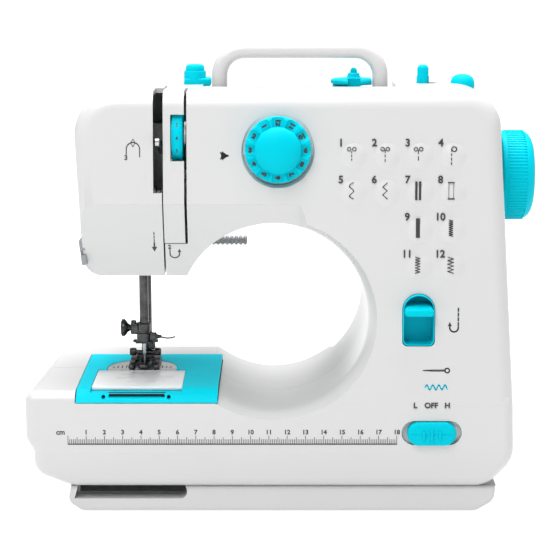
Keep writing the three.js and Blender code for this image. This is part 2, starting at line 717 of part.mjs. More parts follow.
// Pattern cams, turned by the worm on the main shaft.
add(
  "cam_drum",
  joined(
    solid(
      new THREE.ExtrudeGeometry(teeth(CAM.teeth, CAM.r - 1.6, CAM.r), { depth: 6, bevelEnabled: false })
        .rotateX(Math.PI / 2)
        .translate(0, 3, 0),
    ),
    rodSolid("y", -8, -2.5, 9, 9, 12),
    rodSolid("y", -12, -7.5, 12.2, 12.2, 14, 1, 0, 0),
    rodSolid("y", -16, -11.5, 11, 11, 14, 0, 0, 1),
    rodSolid("y", -20, -15.5, 12.2, 12.2, 14, -1, 0, 0),
  ),
  IVORY,
  CAM.x,
  0,
  CAM.z,
);

// ---------- frame ----------
const frameBack = { y0: 28, y1: 31 };
const lug = (x) =>
  cut(
    blockSolid(x - 3.5, x + 3.5, -10, frameBack.y0 + 1, SHAFT.z - 11, SHAFT.z + 11),
    rodSolid("x", x - 6, x + 6, 7 + GAP, 7 + GAP, 16, 0, SHAFT.y, SHAFT.z),
  );
add(
  "main_frame",
  joined(
    blockSolid(-100, 108, frameBack.y0, frameBack.y1, 173, 210),
    blockSolid(62, 84, frameBack.y0 + 11, frameBack.y1 + 8, 70, 175),
    blockSolid(62, 84, frameBack.y0, frameBack.y1 + 8, 173, 180),
    blockSolid(62, 84, frameBack.y0 + 11, frameBack.y1 + 8, 22, 71),
    lug(BUSHES.left),
    lug(BUSHES.right),
  ),
  STEEL,
);

// ---------- controls on the front ----------
const dialSides = 24;
add(
  "pattern_dial",
  joined(
    solid(
      turned(
        "y",
        [
          [0, -13.4], [8, -12.9], [13, -11], [15.6, -8.2], [17.2, -6.4], [DIAL.r, -2], [DIAL.r, 0.6], [0, 0.6],
        ],
        dialSides,
      ),
    ),
    rodSolid("y", 0, 14, 4.4, 4.4, 16),
  ),
  TURQUOISE,
  DIAL.x,
  -43,
  DIAL.z,
);
add(
  "tension_dial",
  turned(
    "x",
    [
      [0, -TENSION.half], [TENSION.r - 0.8, -TENSION.half], [TENSION.r, -TENSION.half + 0.8],
      [TENSION.r, TENSION.half - 0.8], [TENSION.r - 0.8, TENSION.half], [0, TENSION.half],
    ],
    24,
  ),
  TURQUOISE,
  TENSION.x,
  TENSION.y,
  TENSION.z,
);
add(
  "tension_discs",
  turned("x", [[0, 0], [8, 0], [8, 1], [3, 1.4], [3, 5], [0, 5]], 18),
  STEEL,
  TENSION.x + TENSION.half + GAP,
  TENSION.y,
  TENSION.z,
);

const pocketFront = -53.8;
add(
  "lever_pocket",
  cut(
    solid(slabY(pocketShape(0), pocketFront, -41)),
    solid(slabY(pocketShape(-1.2), -70, -43)),
    blockSolid(POCKET.x - 4, POCKET.x + 4, -46, -36, POCKET.z - 3, POCKET.z + 10),
  ),
  TURQUOISE,
);
add(
  "reverse_lever",
  joined(
    solid(
      slabX(
        outline([
          [-59, 114.2, 1],
          [-59, 118.6, 1],
          [-52, 120, 1],
          [-45.6, 120, 0],
          [-45.6, 117, 0],
          [-53, 116.4, 1],
        ].reverse(), 0, 3),
        POCKET.x - 7,
        POCKET.x + 7,
      ),
    ),
    blockSolid(POCKET.x - 3.4, POCKET.x + 3.4, -46.5, -30, 114.4, 118.6),
  ),
  TURQUOISE,
);
add(
  "speed_switch",
  joined(
    solid(slabY(stadium(SWITCH.x, SWITCH.z, SWITCH.width - 2 * SWITCH.travel - 0.6, SWITCH.height - 0.7), -60, -52.4)),
    blockSolid(SWITCH.x - 20, SWITCH.x + 20, -54, -52.2, SWITCH.z - 8.4, SWITCH.z + 8.4),
  ),
  TURQUOISE,
);
const socket = () => turned("x", [[0, -10], [4, -10], [4, 0], [2.7, 0], [2.7, -6], [0, -6]], 16);
add("power_socket", socket(), BLACK, SOCKET.x, SOCKET.y, SOCKET.zPower);
add("pedal_socket", socket(), BLACK, SOCKET.x, SOCKET.y, SOCKET.zPedal);

// ---------- top fittings ----------
const handleArch = (x, z, corner) => [
  [x, HANDLE.z, 0],
  [x, z, corner],
  [HANDLE.left + HANDLE.right - x, z, corner],
  [HANDLE.left + HANDLE.right - x, HANDLE.z, 0],
];
const outer = handleArch(HANDLE.left - HANDLE.r, HANDLE.top + HANDLE.r, HANDLE.corner);
const inner = handleArch(HANDLE.left + HANDLE.r, HANDLE.top - HANDLE.r, HANDLE.corner - 2 * HANDLE.r);
const bar = cut(
  solid(slabY(outline(outer, 0, 5), HANDLE.y - HANDLE.r, HANDLE.y + HANDLE.r)),
  solid(slabY(outline(inner.map(([x, z, r]) => [x, z < HANDLE.top - 10 ? z - 1 : z, r]), 0, 5), -30, 30)),
);
const pinLeft = rodSolid("x", RECESS.left - WALL + 0.4, HANDLE.left, HANDLE.pin, HANDLE.pin, 14, 0, HANDLE.y, HANDLE.z);
const pinRight = rodSolid("x", HANDLE.right, RECESS.right + WALL - 0.4, HANDLE.pin, HANDLE.pin, 14, 0, HANDLE.y, HANDLE.z);
const eye = (x) => rodSolid("x", x - HANDLE.r, x + HANDLE.r, HANDLE.r, HANDLE.r, 16, 0, HANDLE.y, HANDLE.z);
add(
  "carry_handle",
  joined(bar, pinLeft, pinRight, eye(HANDLE.left), eye(HANDLE.right)),
  WHITE,
);

add(
  "thread_guide",
  joined(
    blockSolid(-56, -40.9, 9, 21, ARM_TOP + 0.3, ARM_TOP + 3.6),
    rodSolid("z", ARM_TOP + 3.4, ARM_TOP + 7.2, 5.6, 5.6, 20, -50, 15),
    rodSolid("z", ARM_TOP + 7, ARM_TOP + 10.4, 4.6, 4.2, 20, -50, 15),
  ),
  TURQUOISE,
);
const SEAT = { z: 235.4, r: 10.4 };
add(
  "spool_seat",
  turned(
    "z",
    [
      [2.2, RECESS.floor - 8], [3.5, RECESS.floor - 8], [3.5, SEAT.z], [SEAT.r, SEAT.z], [SEAT.r, SEAT.z + 1.2],
      [3.4, SEAT.z + 1.2], [2.9, SEAT.z + 3.6], [2.2, SEAT.z + 3.6], [2.2, RECESS.floor - 8],
    ],
    24,
  ),
  TURQUOISE,
  SPOOL.x,
  SPOOL.y,
);
add(
  "spool_pin",
  turned("z", [[0, 204], [1.9, 204], [1.9, 242], [1.2, 243.2], [0, 243.4]], 14),
  TURQUOISE,
  SPOOL.x,
  SPOOL.y,
);
add(
  "winder_spindle",
  turned("z", [[0, 219], [6, 219], [6, 221.6], [2.9, 221.6], [2.9, 242.4], [2, 243.8], [0, 244.2]], 16),
  TURQUOISE,
  WINDER.x,
  WINDER.y,
);
const STOP_X = 101.4;
add(
  "winder_stop",
  turned("z", [[0, ARM_TOP + 0.3], [6.8, ARM_TOP + 0.3], [6.8, ARM_TOP + 2], [5, ARM_TOP + 5], [0, ARM_TOP + 6.2]], 20),
  TURQUOISE,
  STOP_X,
  WINDER.y,
);

// ---------- head: take-up, needle and presser ----------
const TAKEUP = { x: -67.7, y: -12, z: 200 };
const takeupOutline = outline(
  [
    [TAKEUP.y + 4, TAKEUP.z - 4, 3],
    [TAKEUP.y + 4, TAKEUP.z + 4, 3],
    [-34, 207.4, 0],
    [-49, 210, 2],
    [-49, 206, 2],
    [-34, 202.4, 0],
  ],
  0,
  3,
);
add(
  "takeup_lever",
  cut(
    solid(slabX(takeupOutline, TAKEUP.x - 1, TAKEUP.x + 1)),
    rodSolid("x", -80, -60, 0.9, 0.9, 8, 0, -46.6, 208),
    rodSolid("x", -80, -60, 1.6, 1.6, 10, 0, TAKEUP.y, TAKEUP.z),
  ),
  STEEL,
);
const BAR = { r: 2.6, bottom: 90, top: 203 };
const frameLug = (z) =>
  cut(
    blockSolid(NEEDLE.x - 5, NEEDLE.x + 5, NEEDLE.y - 5, NEEDLE.y + 5, z, z + 5),
    rodSolid("z", z - 2, z + 8, BAR.r + GAP, BAR.r + GAP, 16, NEEDLE.x, NEEDLE.y),
  );
add(
  "needle_frame",
  joined(blockSolid(NEEDLE.x - 5, NEEDLE.x + 5, 7, 9, 137, 218), frameLug(137), frameLug(192)),
  STEEL,
);
const LINK = { x0: -74.4, x1: -72, low: 148, r: 3.6 };
add(
  "needle_bar",
  joined(
    rodSolid("z", BAR.bottom, BAR.top, BAR.r, BAR.r, 16, NEEDLE.x, NEEDLE.y),
    rodSolid("x", NEEDLE.x, LINK.x1, 1.6, 1.6, 10, 0, NEEDLE.y, LINK.low),
  ),
  STEEL,
);
// The link hangs between the bar's stud and the crank pin, which stops just short of it.
const crankPin = SHAFT.z - CRANK.throw;
add(
  "drive_link",
  cut(
    joined(
      rodSolid("x", LINK.x0, LINK.x1, LINK.r, LINK.r, 14, 0, NEEDLE.y, LINK.low),
      rodSolid("x", LINK.x0, LINK.x1, LINK.r, LINK.r, 14, 0, SHAFT.y, crankPin),
      blockSolid(LINK.x0, LINK.x1, 0, 3, LINK.low, crankPin),
    ),
    rodSolid("x", LINK.x0 - 1, LINK.x1 + 1, 1.6 + GAP, 1.6 + GAP, 12, 0, NEEDLE.y, LINK.low),
    rodSolid("x", LINK.x0 - 1, LINK.x1 + 1, 2 + GAP, 2 + GAP, 12, 0, SHAFT.y, crankPin),
  ),
  STEEL,
);
add(
  "needle_clamp",
  cut(
    joined(
      rodSolid("z", 88, 99.5, 4.4, 4.4, 16, NEEDLE.x, NEEDLE.y),
      blockSolid(NEEDLE.x - 7, NEEDLE.x - 2, NEEDLE.y - 3, NEEDLE.y + 3, 92, 99),
    ),
    rodSolid("z", BAR.bottom - GAP, 110, BAR.r + GAP, BAR.r + GAP, 16, NEEDLE.x, NEEDLE.y),
    rodSolid("z", 80, 95, 1.3, 1.3, 10, NEEDLE.x, NEEDLE.y),
  ),
  STEEL,
);
add(
  "clamp_screw",
  turned("x", [[0, -13.6], [4.2, -13.6], [4.2, -11.4], [2, -9.6], [1.4, -8.4], [1.4, -7.3], [0, -7.3]], 14),
  DARK_STEEL,
  NEEDLE.x,
  NEEDLE.y,
  96,
);
add(
  "needle",
  turned("z", [[0, 58], [0.45, 61], [0.5, 78], [1, 80], [1, 89.5], [0, 89.5]], 10),
  STEEL,
  NEEDLE.x,
  NEEDLE.y,
);

const PRESSER_BOTTOM = 80;
add("presser_bar", rod("z", PRESSER_BOTTOM, 204, 2.9, 2.9, 16), DARK_STEEL, PRESSER.x, PRESSER.y);
const toe = (x) => blockSolid(x - 2.4, x + 2.4, -5, 9, BED_TOP + 0.6, BED_TOP + 2);
add(
  "presser_foot",
  cut(
    joined(
      toe(NEEDLE.x - 5.6),
      toe(NEEDLE.x + 5.6),
      blockSolid(NEEDLE.x - 8, NEEDLE.x + 8, 8, 21, BED_TOP + 0.6, BED_TOP + 2),
      blockSolid(NEEDLE.x - 4.5, NEEDLE.x + 4.5, 9.2, 19, BED_TOP + 1.8, 88),
      rodSolid("x", NEEDLE.x - 8, NEEDLE.x + 8, 1.4, 1.4, 12, 0, 11.4, BED_TOP + 4),
    ),
    rodSolid("z", PRESSER_BOTTOM - GAP, 100, 2.9 + GAP, 2.9 + GAP, 16, PRESSER.x, PRESSER.y),
  ),
  DARK_STEEL,
);
add(
  "foot_screw",
  joined(
    rodSolid("x", NEEDLE.x + 4.8, NEEDLE.x + 9, 2.6, 2.6, 12, 0, 14, 84.6),
    blockSolid(NEEDLE.x + 8.6, NEEDLE.x + 17, 12.6, 15.4, 84, 85.4),
  ),
  STEEL,
);

class Helix extends THREE.Curve {
  constructor(radius, low, high, turns) {
    super();
    Object.assign(this, { radius, low, high, turns });
  }
  getPoint(t, target = new THREE.Vector3()) {
    const a = 2 * Math.PI * this.turns * t;
    return target.set(this.radius * Math.cos(a), this.radius * Math.sin(a), this.low + (this.high - this.low) * t);
  }
}
add("presser_spring", swept(new Helix(4, 165, 198, 5), 0.5, 40, 4), STEEL, PRESSER.x, PRESSER.y);

const lifterGrip = outline(
  [
    [LIFTER.x - 5, LIFTER.z - 5, 4],
    [LIFTER.x - 5, LIFTER.z + 5, 4],
    [-40, 145.6, 2],
    [-21.4, 144.2, 2],
    [-21.4, 139.4, 2],
    [-40, 139.8, 2],
  ],
  0,
  4,
);
add(
  "presser_lifter",
  joined(
    solid(slabY(lifterGrip, 46.6, 52)),
    rodSolid("y", 30, 47, 3.4, 3.4, 14, LIFTER.x, 0, LIFTER.z),
  ),
  GREY,
);
add(
  "thread_cutter",
  solid(
    slabY(
      outline(
        [
          [-112.6, 153, 0.8],
          [-110.6, 153, 0],
          [-109.9, 140.5, 0],
          [-111.4, 139, 0.6],
        ].reverse(),
        0,
        2,
      ),
      -33,
      -22,
    ),
  ),
  GREY,
);
add(
  "lamp_lens",
  turned("z", [[0, HEAD_BOTTOM - 0.6], [LAMP.r - 1, HEAD_BOTTOM - 0.6], [LAMP.r, HEAD_BOTTOM + 0.6], [LAMP.r, HEAD_BOTTOM + 5], [0, HEAD_BOTTOM + 5]], 16),
  CLEAR,
  LAMP.x,
  LAMP.y,
);

export default machine;
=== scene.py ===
import math

import bmesh
import bpy
from mathutils import Matrix, Vector


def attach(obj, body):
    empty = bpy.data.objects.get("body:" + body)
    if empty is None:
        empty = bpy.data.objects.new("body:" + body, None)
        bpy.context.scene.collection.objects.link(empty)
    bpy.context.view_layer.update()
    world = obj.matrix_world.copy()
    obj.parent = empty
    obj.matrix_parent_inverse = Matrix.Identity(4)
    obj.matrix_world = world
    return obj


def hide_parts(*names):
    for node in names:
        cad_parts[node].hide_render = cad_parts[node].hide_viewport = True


bl_info = {
    "name": "Compact sewing machine",
    "version": (1, 0, 0),
    "blender": (4, 5, 0),
    "location": "3D View > Sidebar > Sewing machine",
    "description": "Builds the finished surface of a compact sewing machine over its working frame",
    "category": "Object",
}

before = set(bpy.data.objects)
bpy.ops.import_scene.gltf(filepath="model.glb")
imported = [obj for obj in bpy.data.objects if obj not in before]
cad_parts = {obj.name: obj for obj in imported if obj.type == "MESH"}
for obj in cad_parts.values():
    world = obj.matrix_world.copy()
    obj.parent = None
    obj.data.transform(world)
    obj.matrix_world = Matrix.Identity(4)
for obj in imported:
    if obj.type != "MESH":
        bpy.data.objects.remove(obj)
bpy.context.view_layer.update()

# ---------------------------------------------------------------- sizes, in millimetres
MM = 0.001
BODY = "machine_body"
WALL = 2.6
ARM_LOW, ARM_TOP = 66.0, 234.0
FRONT_LOW, FRONT_TOP = -57.2, -40.8
REAR_LOW, REAR_TOP = 50.0, 40.0
BED_TOP = 72.0
BASE_FRONT, BASE_REAR, BASE_BOTTOM = -57.0, 60.0, 17.0
HEAD_BOTTOM = 132.0
CREASE, CREASE_FRONT, HEAD_FRONT_BOTTOM = 174.0, -46.6, -31.0
THROAT_X, THROAT_Z, THROAT_R = -5.5, 111.0, 52.0
SLOT_LEFT, SLOT_SEAM, SLOT_RIGHT = -69.9, -65.6, -52.7
SLOT_LOW, SLOT_HIGH, STRIP_LOW, SLOT_BACK = 180.0, 234.2, 151.0, -16.0
LEAN = (FRONT_TOP - FRONT_LOW) / (ARM_TOP - ARM_LOW)
LEAN_ANGLE = math.atan(LEAN)
UNDER_ANGLE = math.atan((HEAD_FRONT_BOTTOM - CREASE_FRONT) / (CREASE - HEAD_BOTTOM))
COVER_LEFT, COVER_WIDTH = -113.6, 77.6
DIAL_X, DIAL_FRONT, DIAL_Z, DIAL_R = -3.0, -43.0, 203.6, 18.4
WHEEL_Z, WHEEL_RIBS = 184.0, 84
TENSION_AT, TENSION_RIBS = (-57.4, -28.6, 209.5), 60
PLATE_X, PLATE_Y = -81.0, -1.2
POCKET_X, POCKET_Z = 73.4, 111.5
SWITCH_X, SWITCH_Z = 81.1, 49.2
HANDLE_Y, HANDLE_Z = 3.2, 229.0
SPOOL_AT, WINDER_AT = (39.6, 10, 0), (79.4, 20, 0)
LIFTER_Y = 50.0
RULER_ZERO, RULER_LINE, RULER_LENGTH = -118.0, 43.1, 180
CHART_COLUMNS, CHART_ROWS = (37.3, 55.3, 73.2, 91), (200.7, 181, 161, 141)
PRINT = 0.08

# ---------------------------------------------------------------- stage, in metres and watts
LIGHTS = [
    ("key", (-0.35, -0.75, 1.25), 0.8, 15),
    ("fill", (1.3, -1.1, 0.9), 1.4, 1),
    ("top", (0.1, 0.35, 1.6), 1.2, 44),
]
SKY, PAPER_GLOW = 0.5, 0.85
CAMERA_AT, CAMERA_TILT, LENS = (-0.0019, -0.9968, 0.3172), 79, 114.4
AIM = Vector((0, 0, 0.12))


def front_y(z):
    """Depth of the arm's front face at a height."""
    return FRONT_LOW + LEAN * (z - ARM_LOW)


# ---------------------------------------------------------------- shader maths
class Val:
    """A material's socket that adds and multiplies as a number does."""

    def __init__(self, tree, socket):
        self.tree = tree
        self.socket = socket

    def _with(self, operation, a, b):
        node = self.tree.nodes.new("ShaderNodeMath")
        node.operation = operation
        for slot, value in zip(node.inputs, (a, b)):
            if isinstance(value, Val):
                self.tree.links.new(value.socket, slot)
            else:
                slot.default_value = value
        return Val(self.tree, node.outputs[0])

    def __add__(self, other):
        return self._with("ADD", self, other)

    def __radd__(self, other):
        return self._with("ADD", other, self)

    def __mul__(self, other):
        return self._with("MULTIPLY", self, other)

    def __rmul__(self, other):
        return self._with("MULTIPLY", other, self)


class Finish:
    """A surface finish: one principled shader, and the patterns that feed it."""

    def __init__(self, name, **sockets):
        self.material = bpy.data.materials.new(name)
        self.material.use_nodes = True
        self.tree = self.material.node_tree
        self.tree.nodes.clear()
        out = self.tree.nodes.new("ShaderNodeOutputMaterial")
        self.shader = self.tree.nodes.new("ShaderNodeBsdfPrincipled")
        self.tree.links.new(self.shader.outputs[0], out.inputs[0])
        self.place = self.node("ShaderNodeTexCoord", out="Object")
        for socket, value in sockets.items():
            self.feed(socket.replace("_", " "), value)

    def node(self, kind, settings=None, out=0, **sockets):
        node = self.tree.nodes.new(kind)
        for key, value in (settings or {}).items():
            if key == "stops":
                while len(node.color_ramp.elements) < len(value):
                    node.color_ramp.elements.new(0.5)
                for element, (place, colour) in zip(node.color_ramp.elements, value):
                    element.position = place
                    element.color = colour
            else:
                setattr(node, key, value)
        for key, value in sockets.items():
            slot = node.inputs[int(key[1:]) if key[1:].isdigit() else key.replace("_", " ")]
            if isinstance(value, Val):
                self.tree.links.new(value.socket, slot)
            else:
                slot.default_value = value
        return Val(self.tree, node.outputs[out])

    def feed(self, socket, value):
        slot = self.shader.inputs[socket]
        if isinstance(value, Val):
            self.tree.links.new(value.socket, slot)
        else:
            slot.default_value = value
        return self

    def noise(self, scale, detail=3.0, rough=0.5, stretch=(1, 1, 1)):
        place = self.node("ShaderNodeMapping", None, 0, Vector=self.place, Scale=stretch)
        return self.node(
            "ShaderNodeTexNoise", None, "Fac", Vector=place, Scale=scale, Detail=detail, Roughness=rough
        )

    def blend(self, factor, a, b):
        return self.node("ShaderNodeMix", {"data_type": "RGBA"}, 2, _0=factor, _6=a, _7=b)

    def ramp(self, value, low, high):
        stops = [(low, (0, 0, 0, 1)), (high, (1, 1, 1, 1))]
        return self.node("ShaderNodeValToRGB", {"stops": stops}, 0, Fac=value)

    def bump(self, height, strength, distance=0.001):
        normal = self.node("ShaderNodeBump", None, 0, Height=height, Strength=strength, Distance=distance)
        return self.feed("Normal", normal)


def moulded(name, colour, worn, roughness, grain=1400.0, coat=0.0, patch=0.04, gloss=0.5):
    """Injection-moulded plastic: slow colour drift, faint handling marks and a fine sparked grain."""
    f = Finish(name, Coat_Weight=coat, Coat_Roughness=0.12, IOR=1.5, Specular_IOR_Level=gloss)
    drift = f.noise(9.0, 4.0)
    smear = f.ramp(f.noise(38.0, 6.0, 0.62, (1, 1, 2.5)), 0.56, 0.78)
    f.feed("Base Color", f.blend(f.ramp(drift, 0.3, 0.72) * 0.55 + smear * 0.3, colour, worn))
    f.feed("Roughness", roughness - patch + 2 * patch * f.noise(60.0, 5.0, 0.6) + 0.06 * smear)
    f.bump(f.noise(grain, 2.0) + 0.5 * f.noise(220.0, 2.0), 0.05, 0.0004)
    return f.material


def metal(name, colour, dark, roughness, stretch=(1, 1, 30), grain=300.0):
    """Drawn or plated metal: fine lines along its length, with darker handling patches."""
    f = Finish(name, Metallic=1.0)
    lines = f.noise(grain, 3.0, 0.6, stretch)
    tarnish = f.ramp(f.noise(120.0, 6.0, 0.6), 0.42, 0.74)
    f.feed("Base Color", f.blend(tarnish * 0.7 + lines * 0.2, colour, dark))
    f.feed("Roughness", roughness + 0.14 * lines + 0.1 * tarnish)
    f.bump(lines, 0.08, 0.0002)
    return f.material


def shade(colour, share):
    """A colour taken down to a share of its lightness."""
    return (colour[0] * share, colour[1] * share, colour[2] * share, 1)


def finishes(look):
    """Every finish of the machine, by a short key."""
    white = (*look.body_colour, 1)
    trim = (*look.trim_colour, 1)
    made = {
        "white": moulded("white_moulding", white, shade(white, 0.955), 0.3, coat=0.15),
        "base": moulded("white_base_moulding", shade(white, 0.97), shade(white, 0.92), 0.36, coat=0.1),
        "trim": moulded("turquoise_moulding", trim, shade(trim, 0.93), 0.42, coat=0.0, gloss=0.03),
        "black": moulded("black_moulding", (0.012, 0.012, 0.013, 1), (0.03, 0.03, 0.03, 1), 0.5),
        "ink": moulded("printed_ink", (0.02, 0.02, 0.022, 1), (0.05, 0.05, 0.052, 1), 0.45, 3000.0),
        "grey": moulded("grey_moulding", (0.27, 0.28, 0.29, 1), (0.2, 0.21, 0.22, 1), 0.42),
        "ivory": moulded("natural_nylon", (0.74, 0.71, 0.6, 1), (0.62, 0.58, 0.47, 1), 0.45),
        "rubber": moulded("rubber", (0.02, 0.02, 0.02, 1), (0.045, 0.044, 0.042, 1), 0.8, 900.0),
        "steel": metal("drawn_steel", (0.56, 0.56, 0.57, 1), (0.3, 0.3, 0.31, 1), 0.22),
        "plate": metal("polished_plate", (0.8, 0.8, 0.8, 1), (0.62, 0.62, 0.63, 1), 0.16, (1, 14, 1), 500.0),
        "chrome": metal("dark_chrome", (0.1, 0.1, 0.102, 1), (0.03, 0.03, 0.031, 1), 0.16, (1, 1, 40), 240.0),
        "dark": metal("dark_steel", (0.085, 0.085, 0.087, 1), (0.02, 0.02, 0.021, 1), 0.2),
    }
    clear = Finish("clear_cover", IOR=1.49, Transmission_Weight=0.12, Coat_Weight=0.4, Coat_Roughness=0.05)
    haze = clear.noise(70.0, 5.0)
    clear.feed("Base Color", clear.blend(haze, (0.86, 0.87, 0.87, 1), (0.78, 0.79, 0.8, 1)))
    clear.feed("Roughness", 0.1 + 0.12 * haze).bump(clear.noise(400.0), 0.03)
    made["clear"] = clear.material
    return made


mixed = {}


class Step:
    """One step of the build; the finishes are mixed once and shared by all the steps."""

    def execute(self, context):
        if not mixed:
            mixed.update(finishes(context.scene.sewing_look))
        self.build(mixed)
        return {"FINISHED"}


# ---------------------------------------------------------------- shapes
TURNS = {
    "x": Matrix.Rotation(math.pi / 2, 3, "Y"),
    "y": Matrix.Rotation(-math.pi / 2, 3, "X"),
    "z": Matrix.Identity(3),
}


def moved(bm, by):
    """Shifts a shape and hands it back."""
    bmesh.ops.translate(bm, vec=by, verts=bm.verts)
    return bm


def turned_to(bm, axis, at=(0, 0, 0)):
    """Lays a shape that stands along Z along another axis, at a place."""
    bmesh.ops.rotate(bm, cent=(0, 0, 0), matrix=TURNS[axis], verts=bm.verts)
    return moved(bm, at)


def spun(bm, angle, axis):
    """Turns a shape about an axis through the origin, by an angle in radians."""
    bmesh.ops.rotate(bm, cent=(0, 0, 0), matrix=Matrix.Rotation(angle, 3, axis), verts=bm.verts)
    return bm


def ringed(count, make, axis, at):
    """Copies of one shape set evenly round an axis."""
    return [moved(spun(make(), math.tau * i / count, axis), at) for i in range(count)]


def thickened(outline, by):
    """A solid made by pushing one flat outline along a vector."""
    bm = bmesh.new()
    face = bm.faces.new([bm.verts.new(p) for p in outline])
    made = bmesh.ops.extrude_face_region(bm, geom=[face])
    far = [g for g in made["geom"] if isinstance(g, bmesh.types.BMVert)]
    bmesh.ops.translate(bm, vec=by, verts=far)
    return bm


def soften(bm, width, segments=2, above=35.0):
    """Rounds every edge sharper than an angle, in degrees."""
    limit = math.radians(above)
    edges = [e for e in bm.edges if len(e.link_faces) == 2 and e.calc_face_angle(0) > limit]
    bmesh.ops.bevel(
        bm, geom=edges, offset=width, offset_type="OFFSET", segments=segments, profile=0.5,
        affect="EDGES", clamp_overlap=True, material=-1,
    )
    return bm


def block(x0, x1, y0, y1, z0, z1, round_by=0.0, segments=3):
    """A box between two corners, with its edges rounded if asked."""
    bm = bmesh.new()
    bmesh.ops.create_cube(bm, size=1)
    bmesh.ops.scale(bm, vec=(x1 - x0, y1 - y0, z1 - z0), verts=bm.verts)
    if round_by:
        soften(bm, round_by, segments)
    return moved(bm, ((x0 + x1) / 2, (y0 + y1) / 2, (z0 + z1) / 2))


def rod(axis, start, end, r0, r1=None, at=(0, 0, 0), sides=48, round_by=0.0):
    """A round bar along an axis; a second radius tapers it."""
    bm = bmesh.new()
    r1 = r0 if r1 is None else r1
    bmesh.ops.create_cone(bm, cap_ends=True, segments=sides, radius1=r0, radius2=r1, depth=end - start)
    if round_by:
        soften(bm, round_by, 3)
    moved(bm, (0, 0, (start + end) / 2))
    return turned_to(bm, axis, at)


def turned(axis, profile, at=(0, 0, 0), steps=64):
    """A profile of radius and place along the axis, turned right round it."""
    bm = bmesh.new()
    verts = [bm.verts.new((r, 0, h)) for r, h in profile]
    edges = [bm.edges.new(pair) for pair in zip(verts, verts[1:])]
    bmesh.ops.spin(
        bm, geom=verts + edges, cent=(0, 0, 0), axis=(0, 0, 1), angle=2 * math.pi, steps=steps, use_merge=True
    )
    bmesh.ops.remove_doubles(bm, verts=bm.verts, dist=0.0005)
    bmesh.ops.recalc_face_normals(bm, faces=bm.faces)
    return turned_to(bm, axis, at)


def rounded_face(corners, segments=8):
    """A flat face in X and Z whose corners are rounded: each corner is x, z and its radius."""
    bm = bmesh.new()
    verts = [bm.verts.new((x, 0, z)) for x, z, _ in corners]
    face = bm.faces.new(verts)
    radii = [(v, r) for v, (_, _, r) in zip(verts, corners) if r > 0]
    for vert, radius in radii:
        a, b = [(e.other_vert(vert).co - vert.co).normalized() for e in vert.link_edges]
        trim = radius / math.tan(a.angle(b) / 2)
        bmesh.ops.bevel(
            bm, geom=[vert], offset=trim, offset_type="OFFSET", segments=segments, profile=0.5,
            affect="VERTICES", clamp_overlap=False, material=-1,
        )
    return bm


def slab(corners, y0, y1, round_by=0.0, segments=8, inset=0.0, edge_steps=8):
    """A rounded face made thick along Y, with its front and rear edges rounded."""
    bm = rounded_face(inwards(corners, inset), segments)
    made = bmesh.ops.extrude_face_region(bm, geom=bm.faces[:])
    far = [g for g in made["geom"] if isinstance(g, bmesh.types.BMVert)]
    near = [v for v in bm.verts if v not in set(far)]
    bmesh.ops.translate(bm, vec=(0, y1, 0), verts=far)
    bmesh.ops.translate(bm, vec=(0, y0, 0), verts=near)
    bmesh.ops.recalc_face_normals(bm, faces=bm.faces)
    if round_by:
        rims = [e for e in bm.edges if abs(e.verts[0].co.y - e.verts[1].co.y) < 1e-6]
        bmesh.ops.bevel(
            bm, geom=rims, offset=round_by, offset_type="OFFSET", segments=edge_steps, profile=0.5,
            affect="EDGES", clamp_overlap=False, material=-1,
        )
    return bm


def inwards(corners, inset):
    """The same corners with every side moved in by the inset."""
    if not inset:
        return corners
    points = [Vector((x, z)) for x, z, _ in corners]
    count = len(points)
    pairs = zip(points, points[1:] + points[:1])
    turn = 1 if sum(a.x * b.y - b.x * a.y for a, b in pairs) > 0 else -1
    result = []
    for i, (_, _, r) in enumerate(corners):
        before = (points[i] - points[i - 1]).normalized()
        after = (points[(i + 1) % count] - points[i]).normalized()
        push_a = Vector((-before.y, before.x)) * turn
        push_b = Vector((-after.y, after.x)) * turn
        bisector = (push_a + push_b).normalized()
        place = points[i] + bisector * (inset / max(0.2, bisector.dot(push_a)))
        convex = (before.x * after.y - before.y * after.x) * turn > 0
        radius = max(3.2, r - inset if convex else r + inset)
        result.append((place.x, place.y, radius if r else 0))
    return result


def merged(*pieces):
    """Several shapes in one mesh, left as they are."""
    host = pieces[0]
    for piece in pieces[1:]:
        mesh = bpy.data.meshes.new("part")
        piece.to_mesh(mesh)
        host.from_mesh(mesh)
        bpy.data.meshes.remove(mesh)
        piece.free()
    return host


def loose(bm, name="tool"):
    """Puts a shape in the scene as an object."""
    mesh = bpy.data.meshes.new(name)
    bm.to_mesh(mesh)
    bm.free()
    obj = bpy.data.objects.new(name, mesh)
    bpy.context.scene.collection.objects.link(obj)
    return obj


def solid_of(base, tools, operation="DIFFERENCE"):
    """Cuts tools from a solid one after another, or joins or meets them with it."""
    for tool in tools:
        host, held = loose(base), loose(tool.copy())
        step = host.modifiers.new("cut", "BOOLEAN")
        step.operation = operation
        step.solver = "EXACT"
        step.object = held
        bpy.context.view_layer.update()
        seen = host.evaluated_get(bpy.context.evaluated_depsgraph_get())
        base = bmesh.new()
        base.from_mesh(seen.to_mesh())
        seen.to_mesh_clear()
        for obj in (host, held):
            mesh = obj.data
            bpy.data.objects.remove(obj)
            bpy.data.meshes.remove(mesh)
        bmesh.ops.remove_doubles(base, verts=base.verts, dist=0.002)
        bmesh.ops.dissolve_degenerate(base, dist=0.002, edges=base.edges)
    return base


def joined(base, *tools):
    return solid_of(base, tools, "UNION")


def cut(base, *tools):
    return solid_of(base, tools, "DIFFERENCE")


def met(base, *tools):
    return solid_of(base, tools, "INTERSECT")


